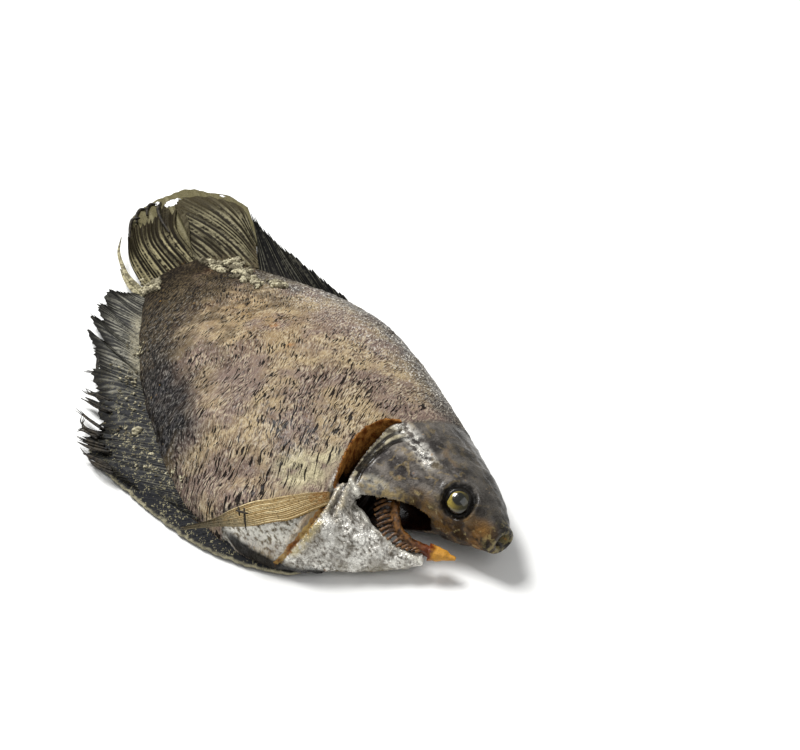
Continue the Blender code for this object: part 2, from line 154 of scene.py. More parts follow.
def tube(path, radii, sides=10, samples=20, flat=1.0):
    """A tapering tube along a smooth line. flat squeezes its height."""
    places = np.linspace(0, 1, samples)
    centres = route(path, places)
    ahead = np.gradient(centres, axis=0)
    ahead /= np.linalg.norm(ahead, axis=1, keepdims=True)
    side = np.cross(ahead, (0, 0, 1))
    side /= np.linalg.norm(side, axis=1, keepdims=True)
    up = np.cross(side, ahead) * flat
    turn = np.linspace(0, 2 * math.pi, sides, endpoint=False)[None, :, None]
    sizes = np.interp(places, np.linspace(0, 1, len(radii)), radii)[:, None, None]
    part = loft(centres[:, None] + sizes * (np.cos(turn) * side[:, None] + np.sin(turn) * up[:, None]))
    part["paint"]["along"] = np.repeat(places, sides)
    return part


sample = tube([(0, 0, 0), (10, 0, 0)], [1, 0.5])
print("a tube of", len(sample["points"]), "points and", len(sample["faces"]), "faces")


# %% joined and dressed objects
def read(mesh, field):
    """The place (co) or the normal of every point of a mesh, one row each."""
    values = np.empty(len(mesh.vertices) * 3)
    mesh.vertices.foreach_get(field, values)
    return values.reshape(-1, 3)


def store(mesh, name, values):
    """Keep a value or a vector of every point on the mesh as an attribute."""
    kind, key = ("FLOAT_VECTOR", "vector") if values.ndim == 2 else ("FLOAT", "value")
    mesh.attributes.new(name, kind, "POINT").data.foreach_set(key, values.ravel())


def add(name, data):
    """A new object in the scene that shows a mesh, a light or a camera."""
    made = bpy.data.objects.new(name, data)
    bpy.context.scene.collection.objects.link(made)
    return made


def make_object(name, *parts):
    """One object from parts in fish millimetres, with their painted values as attributes."""
    points = np.concatenate([part["points"] for part in parts])
    starts = np.cumsum([0] + [len(part["points"]) for part in parts])
    faces = [[i + start for i in face] for part, start in zip(parts, starts) for face in part["faces"]]
    mesh = bpy.data.meshes.new(name)
    mesh.from_pydata(place(points).tolist(), [], faces)
    for field in parts[0]["paint"]:
        store(mesh, field, np.concatenate([part["paint"][field] for part in parts]))
    shell = bmesh.new()
    shell.from_mesh(mesh)
    bmesh.ops.recalc_face_normals(shell, faces=shell.faces)
    shell.to_mesh(mesh)
    shell.free()
    mesh.shade_smooth()
    return add(name, mesh)


def dress(piece, material, slot="dried_skin", *nodes):
    """Give a piece its material, and let it ride with the fish in place of CAD nodes. slot is not used."""
    piece.data.materials.clear()
    piece.data.materials.append(material)
    store(piece.data, "fish", to_fish(read(piece.data, "co")))
    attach(piece, "root")
    if nodes:
        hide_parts(*nodes)
    print(piece.name, "has", len(piece.data.polygons), "faces")


# %% [markdown]
# ## Shader maths in Python
# A material is a net of nodes, and wiring it by hand hides the idea. Here a small class wraps one socket
# and overloads the operators, so `1 - mask` or `mask * grain` add Math nodes by themselves. Every other
# kind of node comes from the one method `node`: its settings first, then the values or links. Colours are
# laid one over the other with `layers`, and are written as a screen shows them, from 0 to 255.


# %% a socket with operators
def linear(colour):
    """A screen's colour in the linear values that shaders use. A socket stays as it is."""
    return colour if isinstance(colour, Socket) else (*((value / 255) ** 2.2 for value in colour), 1.0)


class Socket:
    """One output of a node, or with no output the blank sheet that other nodes start from."""

    def __init__(self, tree, output=None):
        self.tree = tree
        self.output = output

    def node(self, kind, settings, values, output=0):
        """Any node: its settings first, then the values or links of its sockets."""
        made = self.tree.nodes.new(kind)
        for name, value in settings.items():
            setattr(made, name, value)
        self.plug(made, values)
        return Socket(self.tree, made.outputs[output])

    def plug(self, node, values):
        """Give sockets of a node their values, or links where the values are sockets themselves."""
        for key, value in values.items():
            if isinstance(value, Socket):
                self.tree.links.new(value.output, node.inputs[key])
            else:
                node.inputs[key].default_value = value

    def math(self, operation, first, second):
        return self.node("ShaderNodeMath", {"operation": operation}, {0: first, 1: second})

    def __add__(self, other):
        return self.math("ADD", self, other)

    def __sub__(self, other):
        return self.math("SUBTRACT", self, other)

    def __rsub__(self, other):
        return self.math("SUBTRACT", other, self)

    def __mul__(self, other):
        return self.math("MULTIPLY", self, other)

    __radd__ = __add__
    __rmul__ = __mul__

    def fade(self, low, high):
        """A smooth step from 0 at low to 1 at high."""
        return self.node("ShaderNodeMapRange", {"interpolation_type": "SMOOTHSTEP"},
                         {"Value": self, "From Min": low, "From Max": high})

    def blend(self, low, high):
        """A colour: low where this mask is 0, high where it is 1."""
        return self.node("ShaderNodeMix", {"data_type": "RGBA"},
                         {0: self, 6: linear(low), 7: linear(high)}, output=2)

    def layers(self, *coats):
        """This colour with others over it, each coat given as its mask and its colour."""
        colour = self
        for mask, coat in coats:
            colour = mask.blend(colour, coat)
        return colour

    def paint(self, name):
        """A value painted on the mesh."""
        return self.node("ShaderNodeAttribute", {"attribute_name": name}, {}, output=2)

    def lumps(self, size, detail=2.0, seed=0.0, stretch=(1, 1, 1), ruler="fish"):
        """Noise from 0 to 1 with lumps of a size in millimetres, longer along a stretched axis."""
        spot = self.node("ShaderNodeAttribute", {"attribute_name": ruler}, {}, output=1)
        scaled = self.node("ShaderNodeMapping", {},
                           {"Vector": spot, "Location": (seed, seed * 1.7, seed * 0.6),
                            "Scale": tuple(1 / (size * longer) for longer in stretch)})
        return self.node("ShaderNodeTexNoise", {}, {"Vector": scaled, "Scale": 1.0, "Detail": detail})


print("a screen's middle grey is", round(linear((128, 128, 128))[0], 3), "in linear values")

# %% [markdown]
# ## A material from a look
# Every material is made in the same way: a new net, and a shader whose sockets get values or links. What
# differs is the look, a function that works these out on a blank sheet, so it is all that is written for
# each finish.

# %% a new material
DARK_SHINE = 0.2  # how much a spot of any colour mirrors, for looks that don't say


def bumps(height, depth):
    """A normal for fine relief, from a height of 0 to 1, as a bump of so many millimetres."""
    return height.node("ShaderNodeBump", {}, {"Height": height, "Distance": depth * MM, "Strength": 1.0})


def new_material(name, look, *colours, **wishes):
    """A material whose shader gets what a look works out on a blank sheet: values, or links."""
    material = bpy.data.materials.new(name)
    material.use_nodes = True
    sheet = Socket(material.node_tree)
    sheet.plug(material.node_tree.nodes["Principled BSDF"],
               {"Specular IOR Level": DARK_SHINE, **look(sheet, *colours, **wishes)})
    return material


print("a look that doesn't say mirrors by", DARK_SHINE)

# %% [markdown]
# ## The outline of the trunk
# The solids were lofted from a few measured limits of the cross-section. The same limits, read at many
# more places, give a fine skin in exactly the same place, which is why they are written out again here.

# %% limits of the cross-section
BACK = [(0, 1.2), (4, 4.0), (9, 6.9), (17, 9.8), (26, 12.9), (36, 16.2), (50, 20.4), (66, 24.6),
        (86, 28.2), (103, 27.6), (118, 24.2), (134, 19.8), (146, 16.0), (158, 11.5)]
BELLY = [(0, -4.4), (5, -6.8), (10, -8.6), (15, -11.3), (20, -15.8), (25, -21.5), (30, -29), (36, -37),
         (44, -45.5), (53, -51.5), (63, -53.2), (76, -51.2), (92, -46.6), (108, -41.6), (122, -36),
         (136, -29), (147, -22.5), (158, -14.5)]
CREST = [(0, -1.5), (12, -2), (22, -4), (34, -6), (60, -5), (100, -3), (158, -1)]
TOP = [(0, 12.2), (4, 14.2), (11, 17.2), (20, 19.4), (32, 22.2), (48, 23.8), (66, 24), (90, 21.8),
       (114, 17.6), (136, 12.6), (158, 8.6)]
BOTTOM = [(0, 6.2), (5, 4.4), (11, 2.6), (18, 1.0), (27, -0.6), (128, -0.6), (142, 0.4), (158, 2.6)]
BACK_EDGE = [(0, 8.4), (20, 10), (60, 11), (110, 9), (158, 5.8)]
BELLY_EDGE = [(0, 8.2), (10, 8.6), (17, 11.5), (23, 14.5), (29, 14), (36, 8.5), (46, 4.6), (110, 4.4),
              (158, 5.6)]
DOME_GAIN = 0.2
SOLE_LOSS = 0.45
FILLING_OUT = (8.0, 38.0)
MOUTH_RINGS = [(3.2, 0.20), (1.6, 0.36), (0.4, 0.50), (0.0, 0.68), (0.5, 0.92), (1.4, 1.0)]
SNOUT_LENGTH = 1.8
FIRST_STEP = 0.8  # from the last ring of the snout to the first of the trunk
TAIL_ROOT = 156.0
TAIL_RINGS = [(157.4, 0.94), (158.8, 0.8), (159.8, 0.5)]
BREAST = [(62, -45.5, 6.5, 12.0, 0.6, 9.0, 3.6), (50, -43.5, 8.8, 15.0, 0.2, 11.5, 3.4),
          (40, -39.5, 9.6, 17.0, 0.0, 14.5, 3.2), (32, -34.2, 9.0, 17.0, 0.0, 15.5, 3.2),
          (25, -29.4, 6.4, 13.4, 0.2, 12.6, 3.2), (19, -25.6, 3.9, 10.0, 0.8, 9.2, 3.4),
          (14, -21.2, 2.2, 7.4, 1.8, 6.8, 3.8), (10.2, -17.4, 1.2, 6.4, 3.2, 5.4, 4.4)]
HINGE_FOLD = [(38.0, -31.5, 13.0), (34.0, -28.6, 13.4), (31.2, -26.0, 13.6), (29.6, -23.6, 13.4)]
HINGE_RADII = [2.6, 3.3, 3.3, 2.7]
CHAMBER = [(15.5, -22, -9.5, 12.0, 5.4), (19, -26, -8.5, 14.2, 4.2), (24, -30, -8.0, 15.8, 3.4),
           (29, -32, -8.0, 16.7, 3.4), (34, -29, -9.0, 17.2, 4.2), (37, -24, -11.0, 16.8, 6.0)]
SLIT = [(36.6, -3.6, 0.8), (38.4, -7.2, 3.0), (37.9, -12.2, 4.8), (35.9, -18.0, 4.6),
        (32.9, -24.0, 3.2), (30.8, -28.2, 1.6)]
SLIT_TOP = 30.0
SLIT_FLOOR = 11.5
THROAT_FOLD = [(32.0, -29.4, 14.4), (29.5, -29.6, 13.6), (25.2, -28.4, 11.5), (21.9, -26.0, 9.7),
               (18.9, -23.7, 8.0), (15.9, -21.6, 6.6)]
THROAT_RADII = [2.0, 2.2, 2.2, 2.1, 1.9, 1.4]
GILL_FOLD = [(36.0, -30.4, 13.8), (33.2, -27.2, 14.6), (31.2, -24.6, 15.0), (29.5, -21.8, 14.9)]
GILL_FOLD_RADII = [1.6, 2.4, 2.2, 1.5]

print("the trunk has", len(BACK), "measured points along its back and", len(BELLY), "along its belly")


# %% rings of the trunk
def cross_section(sides, outer, inner, crest, top, bottom, outer_edge, inner_edge, dome, sole):
    """Closed outline (v, z): a domed upper side over a flatter lower side."""
    turn = np.linspace(0, 2 * math.pi, sides, endpoint=False)
    across, up = np.cos(turn), np.sin(turn)
    v = crest + np.where(across > 0, (inner - crest) * across, (crest - outer) * across)
    edge = outer_edge + (inner_edge - outer_edge) * (v - outer) / (inner - outer)
    rise = (top - edge) * np.abs(up) ** dome
    drop = (edge - bottom) * np.abs(up) ** sole
    return v, np.maximum(edge + np.where(up > 0, rise, -drop), 0)


def filled_out(s):
    """0 at the snout and 1 on the trunk, in proportion between."""
    start, end = FILLING_OUT
    return np.clip((s - start) / (end - start), 0, 1)


def trunk_ring(s, scale=1.0, at=None, sides=200):
    """Ring of the trunk at s, drawn in to a scale about its own middle and put at another s."""
    limits = [curve(line, s) for line in (BELLY, BACK, CREST, TOP, BOTTOM, BELLY_EDGE, BACK_EDGE)]
    v, z = cross_section(sides, *limits, 1 + DOME_GAIN * filled_out(s), 1 - SOLE_LOSS * filled_out(s))
    middle_v, middle_z = (v.min() + v.max()) / 2, (z.min() + z.max()) / 2
    spot = np.full_like(v, s if at is None else at)
    return np.stack([spot, middle_v + (v - middle_v) * scale, middle_z + (z - middle_z) * scale], -1)


def trunk_part(stations=260):
    """Head and trunk, from the small open mouth to the root of the tail."""
    rings = [trunk_ring(SNOUT_LENGTH, scale, at) for at, scale in MOUTH_RINGS]
    rings += [trunk_ring(s) for s in np.linspace(SNOUT_LENGTH + FIRST_STEP, TAIL_ROOT, stations)]
    rings += [trunk_ring(TAIL_ROOT, scale, at) for at, scale in TAIL_RINGS]
    return loft(np.array(rings))


print("the trunk is", np.ptp(trunk_ring(66)[:, 1]).round(1), "mm deep and",
      np.ptp(trunk_ring(66)[:, 2]).round(1), "mm thick at its middle")


# %% rings of the breast and the hollows
def swept(table, stations, ring_at):
    """A solid through the rings that a rule makes from the rows of a table, read from end to end."""
    return loft(np.array([ring_at(u, *route(table, u)) for u in np.linspace(0, 1, stations)]))


def heading(line, u, step=0.01):
    """The direction of a line at u, seen from above."""
    way = (route(line, min(u + step, 1)) - route(line, max(u - step, 0)))[:2]
    return way / np.linalg.norm(way)


def breast_ring(u, s, v, half, top, bottom, inner_edge, outer_edge, sides=72):
    """Ring of the breast, which narrows to the throat that has come away from the jaw."""
    way = heading(BREAST, u)
    across, z = cross_section(sides, -half, half, half * 0.35, top, bottom, outer_edge, inner_edge, 1, 0.6)
    return np.column_stack([np.array([s, v]) + across[:, None] * np.array([way[1], -way[0]]), z])


def chamber_ring(_, s, outer, inner, roof, floor, sides=36):
    """Ring of the hollow under the gill cover, open towards the breast."""
    middle = (roof + floor) / 2
    v, z = cross_section(sides, outer, inner, (outer + inner) / 2, roof, floor, middle, middle, 0.6, 0.6)
    return np.column_stack([np.full_like(v, s), v, z])


def slit_ring(u, s, v, width):
    """Four corners of the crescent slit behind the gill cover, a little narrower at its floor."""
    way = heading(SLIT, u, 0.02)
    side = np.array([-way[1], way[0]]) * width / 2
    corners = [(side, SLIT_TOP), (side * 0.8, SLIT_FLOOR), (-side, SLIT_FLOOR), (-side, SLIT_TOP)]
    return [(s + move[0], v + move[1], z) for move, z in corners]


print("the breast heads", heading(BREAST, 0.5).round(2), "at its middle")

# %% [markdown]
# ## One skin over everything
# Cutting the gill chamber and the slit out and joining the breast on leaves long thin faces at the seams,
# and relief needs even ones. A voxel remesh lays a new, even net over the whole solid and softens the cut
# edges as dried skin does. It comes before the relief, because it would wipe fine detail away.

# %% cut, join and remesh
VOXEL = 0.42  # millimetres between the points of the skin


def apply_modifiers(piece):
    """Keep the mesh that the modifiers make, and remove them."""
    bpy.context.view_layer.update()
    result = piece.evaluated_get(bpy.context.evaluated_depsgraph_get())
    mesh = bpy.data.meshes.new_from_object(result)
    piece.modifiers.clear()
    piece.data = mesh


def combine(target, tools, operation):
    """Join tools to the target, or cut them out of it, and remove them."""
    group = bpy.data.collections.new("tools")
    for tool in tools:
        group.objects.link(tool)
    step = target.modifiers.new(operation, "BOOLEAN")
    step.operation = operation
    step.operand_type = "COLLECTION"
    step.collection = group
    step.solver = "MANIFOLD"
    apply_modifiers(target)
    for tool in tools:
        bpy.data.objects.remove(tool)
    bpy.data.collections.remove(group)


def surface_of(piece):
    """A search tree over the surface of an object, in frame metres."""
    faces = [tuple(face.vertices) for face in piece.data.polygons]
    return BVHTree.FromPolygons(read(piece.data, "co").tolist(), faces)


skin = make_object("skin", trunk_part())
hollows = [make_object("chamber", swept(CHAMBER, 40, chamber_ring)),
           make_object("slit", swept(SLIT, 48, slit_ring))]
chamber_wall, slit_wall = map(surface_of, hollows)
combine(skin, hollows, "DIFFERENCE")
joined = [make_object("breast", swept(BREAST, 110, breast_ring))]
for name, line, radii, samples in (("hinge", HINGE_FOLD, HINGE_RADII, 30),
                                   ("throat fold", THROAT_FOLD, THROAT_RADII, 40),
                                   ("gill fold", GILL_FOLD, GILL_FOLD_RADII, 30)):
    joined.append(make_object(name, tube(line, radii, 32, samples)))
combine(skin, joined, "UNION")
net = skin.modifiers.new("even net", "REMESH")
net.mode = "VOXEL"
net.voxel_size = VOXEL * MM
apply_modifiers(skin)
print("the skin has", len(skin.data.vertices), "points")

# %% [markdown]
# ## Painting by places
# Relief and colour are both tied to places on the fish: the ring round the eye, the strip along the gill
# cover, the crease of the breast. Each is a short line on the fish, and `near` tells how close every
# point of the skin is to it. These masks first move the points and later steer the colours.

# %% where every point of the skin is
spots, outward = read(skin.data, "co"), read(skin.data, "normal")
fish = to_fish(spots)
S, V, Z = fish.T
SHOWN = fade(outward[:, 2], -0.45, 0.1)  # 1 on the upper side


def gaps(spot, path):
    """How far each point lies from a chain of straight pieces."""
    best = np.full(len(spot), np.inf)
    for start, end in zip(path, path[1:]):
        along = end - start
        share = np.clip((spot - start) @ along / (along @ along), 0, 1)
        best = np.minimum(best, np.linalg.norm(spot - start - share[:, None] * along, axis=1))
    return best


def near(line, width, segments=14):
    """1 on a line over the skin, fading to 0 at a width away. A line without heights is seen from above."""
    path = route(line, np.linspace(0, 1, segments + 1))
    return fade(gaps(fish[:, :path.shape[1]], path), width, 0)


def inside(outline, blur):
    """1 inside a closed outline of (s, v) corners, 0 outside, with a blurred edge."""
    corners = np.array(outline + outline[:1], float)
    odd = np.zeros(len(fish), bool)
    for start, end in zip(corners, corners[1:]):
        along = end - start
        spans = (start[1] > V) != (end[1] > V)
        odd ^= spans & (S < along[0] * (V - start[1]) / (along[1] or 1e-9) + start[0])
    away = gaps(fish[:, :2], corners)
    return fade(np.where(odd, away, -away), -blur, blur)


def wall_of(tree, reach=0.6):
    """1 where the skin is the wall of a hollow: close to the hollow's surface and facing into it."""
    wall = np.zeros(len(fish))
    for i, spot in enumerate(spots):
        _, facing, _, away = tree.find_nearest(Vector(spot), reach * MM)
        if facing is not None and facing.dot(Vector(outward[i])) < -0.35:
            wall[i] = 1 - away / MM / reach
    return fade(wall, 0, 0.5)


def spots_at(*places):
    """Spots with soft edges, each given as its s and v and how far it reaches along each."""
    return sum(np.exp(-((S - s) / long) ** 2 - ((V - v) / wide) ** 2) for s, v, long, wide in places)


print("upper side:", int(SHOWN.sum()), "of", len(fish), "points")

# %% lines and outlines of the places
HEAD_BORDER = [(-40, 28.0), (-28.2, 30.8), (-24, 32.9), (-18, 35.9), (-12.2, 37.9), (-7.2, 38.4),
               (-3.6, 36.8), (3, 34.6), (10, 33.0), (18, 32.0)]
GILL_GROOVE = [(31.5, -5.6), (32.4, -8.8), (32.4, -12.2), (31.6, -17.0), (30.9, -20.0), (29.6, -22.4)]
STRIP_FOLD = [(34.0, -5.2), (34.7, -8.8), (34.0, -12.6), (32.7, -17.2), (31.7, -20.6)]
STRIP_EDGE = [(36.2, -3.8), (37.0, -7.2), (35.8, -12.2), (34.0, -17.6), (32.2, -22.4)]
GILL_RIM = [(29.4, -22.6), (26.6, -20.4), (24.3, -18.4), (21.6, -16.6), (17.3, -13.2), (13.8, -10.6)]
PLATE_CORNER = [(29.6, -23.0), (29.2, -19.4), (26.0, -17.4), (23.4, -16.8), (25.4, -20.4)]
NAPE_GLINT = [(36.0, -4.6), (32.6, -4.4), (29.0, -4.8), (26.0, -5.2), (23.4, -5.6)]
TAN_VEIN = [(25.0, 1.6), (23.2, -0.6), (20.5, -0.8), (17.6, -0.6), (15.5, -1.0)]
CHEEK_BAND = [(18.6, -13.6), (14.6, -11.6), (10.8, -9.4), (8.0, -7.4), (4.6, -6.0), (1.6, -4.6)]
CREASE = [(32.0, -29.0, 17.0), (29.8, -31.4, 16.6), (28.2, -35.4, 15.0), (28.0, -38.4, 12.9),
          (28.3, -40.3, 11.0), (28.9, -42.2, 8.9), (29.8, -43.6, 6.3), (30.8, -45.0, 3.9)]
CREASE_BRANCH = [(28.0, -38.0, 13.4), (25.8, -39.2, 11.4), (24.6, -39.6, 9.6)]
BELLY_STRIPE = [(52.0, -55.0, 8.0), (45.1, -53.4, 6.8), (40.0, -50.2, 4.6), (33.5, -46.8, 3.4),
                (29.5, -43.9, 2.2), (24.0, -38.0, 1.4)]
BELLY_PATCH = [(31.0, -36.0), (35.0, -39.4), (41.0, -44.6), (46.0, -49.6), (45.0, -52.0), (40.0, -49.9),
               (34.0, -46.8), (30.0, -43.6), (29.4, -39.6)]
THROAT_RIM = [(30.4, -23.4), (27.4, -23.8), (24.7, -24.0), (22.2, -24.0), (19.7, -23.2), (16.6, -22.2),
              (14.6, -21.4), (12.0, -19.8), (10.2, -18.2)]
HINGE_PLEATS = [[(30.6, -23.2), (29.0, -26.6), (26.6, -30.0)],
                [(32.0, -24.8), (30.6, -28.2), (28.6, -31.8)],
                [(33.6, -27.0), (32.2, -29.8), (30.4, -33.0)]]
HINGE_CREASES = [[(31.2, -24.0), (29.9, -27.4), (27.4, -31.2)],
                 [(32.8, -26.0), (31.4, -29.0), (29.4, -32.6)]]
PALE_FRONT = [(35.5, -27.5), (37.5, -21.0), (41, -22), (45, -28), (47, -34), (42, -37), (38, -35),
              (35, -31)]
FLAP = [(28.0, -33.6, 16.0), (26.8, -37.4, 13.4), (26.6, -40.0, 11.0), (27.6, -42.4, 8.0)]
CRUMB_SHADOW = [(152, 5.0, 9.4), (143, 6.4, 11.0), (134, 9.4, 12.6), (124, 11.0, 14.4), (114, 13.6, 15.4)]
BREAST_BORDER = [(-60, 36.0), (-45.6, 31.4), (-41, 28.6), (-35.4, 28.6), (-31.6, 30.2), (-28, 33.0),
                 (-22, 36.0)]

print("the crease runs down over", len(CREASE), "points")

# %% masks of the places
in_slit, in_chamber = wall_of(slit_wall), wall_of(chamber_wall)
lobe = np.full(len(fish), np.inf)  # how far out from the middle of the breast, as a share of its half width
for u in np.linspace(0, 1, 60):
    s, v, half = route([row[:3] for row in BREAST], u)
    lobe = np.minimum(lobe, np.hypot(S - s, V - v) / half)
on_breast = fade(lobe, 1.3, 1.05) * fade(curve(BREAST_BORDER, V) - S, -1.0, 1.0) * (1 - in_chamber)
mask = {
    # walls of the gill chamber and slit; skin_look paints them almost black as painted shade
    "hollow": np.maximum(in_slit, in_chamber),
    "slit_glow": in_slit * fade(outward[:, 0], 0.0, 0.5) * fade(Z, 13.0, 19.0),
    "head": fade(curve(HEAD_BORDER, V) - S, -1.2, 1.2),
    "breast": on_breast,
    "strip": inside(GILL_GROOVE + STRIP_EDGE[::-1], 0.5) * SHOWN,
    "grooves": np.maximum(near(GILL_GROOVE, 1.15), near(STRIP_FOLD, 0.95)) * SHOWN,
    "lips": fade(S, 3.6, 1.2),
    "rim": near(GILL_RIM, 2.6) * SHOWN,
    "plate_corner": inside(PLATE_CORNER, 0.9) * SHOWN,
    "glint": near(NAPE_GLINT, 3.3) * SHOWN,
    "vein": near(TAN_VEIN, 1.3),
    "cheek": near(CHEEK_BAND, 3.8),
    "crease": np.maximum(near(CREASE, 1.3), near(CREASE_BRANCH, 1.1)) * SHOWN,
    "flap": near(FLAP, 2.3) * SHOWN,
    "crumb_shadow": near(CRUMB_SHADOW, 6.5),
    "snout": fade(S, 15, 3),
    "forehead": fade(V, -9, 0),
    # near-black stripe along the lower belly: painted shade of the gap there
    "stripe": near(BELLY_STRIPE, 3.4),
    "patch": inside(BELLY_PATCH, 1.0) * SHOWN,
    "throat_rim": near(THROAT_RIM, 1.0) * SHOWN,
    "pleats": sum(near(line, 0.9, 6) for line in HINGE_PLEATS) * SHOWN,
    "hinge_creases": sum(near(line, 0.7, 6) for line in HINGE_CREASES) * SHOWN,
    "hinge_shade": spots_at((30.5, -30.0, 4.6, 5.2)),
    "breast_foot": fade(Z, 7.0, 1.5),
    "pale_front": inside(PALE_FRONT, 3.0),
    "brown_spots": spots_at((112, -8.2, 4.2, 4.2), (94.5, -9.3, 2.6, 2.6), (91.4, -16.6, 3.0, 3.0),
                            (123, -12, 4.0, 4.0)),
    "orange_spots": spots_at((94.1, -5.3, 1.3, 1.3), (81.5, -8.2, 0.9, 0.9), (148, 3, 4.0, 4.0)),
    "eye_away": np.min([np.linalg.norm(fish - np.array(eye), axis=1) for eye in (EYE_RIGHT, EYE_LEFT)], 0),
}
print("breast:", int(on_breast.sum()), "points; hollow walls:", int(mask["hollow"].sum()))

# %% [markdown]
# ## Relief of the skin
# Dried skin shrinks on the scales, so they show as short ridges in oblique rows, with grooves between.
# Noise that is stretched along the rows gives such a grain: long along one direction, narrow across it.
# The same rows are stored on the mesh, because the dark flecks of the skin sit in their grooves.

# %% the grain of the scales
ROW_ANGLE = math.radians(53)  # from the tailward direction up towards the back
BEND, BEND_SIZE = 5.0, 24  # how far the rows wander, and over what distance
SHAKE, SHAKE_SIZE = 0.4, 2.6  # the same for each short ridge

flat_fish = fish * (1, 1, 0)
bend_s = S + (BEND * rough(flat_fish, BEND_SIZE, 3) + SHAKE * rough(flat_fish, SHAKE_SIZE, 5))
bend_v = V + (BEND * rough(flat_fish, BEND_SIZE, 8) + SHAKE * rough(flat_fish, SHAKE_SIZE, 6))
rows = np.column_stack([bend_s * math.cos(ROW_ANGLE) + bend_v * math.sin(ROW_ANGLE),
                        bend_v * math.cos(ROW_ANGLE) - bend_s * math.sin(ROW_ANGLE), Z])
grain = 1.5 * rough(rows / (2.2, 1.0, 2.0), 1.0, 3)
fine_grain = rough(rows / (1.2, 0.62, 1.2), 1.0, 9)
crumple = rough(fish, 2.2, 4)
swell = rough(fish, 9.0, 7)
print("grain from", grain.min().round(2), "to", grain.max().round(2))

# %% moving the points
RISES = {"vein": 0.25, "crease": -1.0, "throat_rim": 0.3, "pleats": 0.45, "hinge_creases": -0.5,
         "patch": -1.0, "stripe": 0.4}  # how many millimetres each place rises, or sinks where negative
SOCKET_LIP, SOCKET_MOAT = 4.9, 3.9  # how far from the eye's middle its rim and the groove inside it run

bone = mask["head"] * (1 - mask["hollow"])
flesh = (1 - mask["head"]) * (1 - on_breast) * (1 - mask["hollow"])
height = flesh * (0.14 * grain + 0.08 * fine_grain + 0.12 * crumple + 0.25 * swell)
height += bone * (0.2 * crumple + 0.3 * swell + 0.08 * fine_grain)
height += on_breast * (0.3 * crumple + 0.14 * rough(fish, 0.9, 2))
height += -0.6 * near(GILL_GROOVE, 0.9) * SHOWN - 0.4 * near(STRIP_FOLD, 0.8) * SHOWN
height += 0.35 * near(STRIP_EDGE, 1.2) * SHOWN + 0.3 * mask["rim"] * (1 - in_chamber)
height += 0.35 * mask["glint"] * crumple - 0.25 * mask["cheek"] * np.abs(crumple)
height += sum(rise * mask[place] for place, rise in RISES.items())
height += 0.45 * fade(np.abs(mask["eye_away"] - SOCKET_LIP), 1.0, 0)
height -= 0.75 * fade(np.abs(mask["eye_away"] - SOCKET_MOAT), 0.9, 0)
spots += outward * height[:, None] * MM
spots[:, 2] = np.maximum(spots[:, 2], 0)
skin.data.vertices.foreach_set("co", spots.ravel())
print("relief from", height.min().round(2), "to", height.max().round(2), "mm")

# %% [markdown]
# ## What the materials need to know
# The masks go onto the mesh as attributes. A material can then fade from one colour to another exactly
# where the skin changes, and break the border up with noise, which no plain texture could place as well.
# A few more masks are wide zones of the trunk, whose borders wander with the same noise as the relief.

# %% store the masks
mask |= {
    "dark_back": fade(curve(BACK, S) - V + 2.5 * swell + 1.5 * crumple, 14.0, 4.0) * fade(Z, 3.0, 8.0),
    # painted shade: darker where the trunk turns down to the anal fin
    "anal_fin_shade": fade(V - curve(BELLY, S) + 4 * swell + 1.5 * crumple, 17.0, 6.0) * fade(S, 60, 84),
    "tail_end": fade(S - 0.4 * V + 7 * swell + 3 * crumple, 118, 138),
    "tail_root": fade(S + 3 * swell, 144, 153),
    "rear": fade(S - 0.3 * V + 5 * swell, 84, 112) * fade(V, 14, 4),
    "warm": spots_at((106, -6, 24, 11)),
    "flecked": fade(V, 20.0, 2.0) * fade(S, 36, 40) * fade(S, 156, 136),
    "long_strokes": fade(S, 76, 56) * fade(V, 8.0, -8.0) * fade(S, 36, 39),
    "sheen": (0.35 + fade(V, 2.0, 14.0)) * fade(S, 34, 44) * fade(S, 150, 126),
}
store(skin.data, "rows", rows)
for name, values in mask.items():
    store(skin.data, name, values)
print(len(mask), "masks stored")
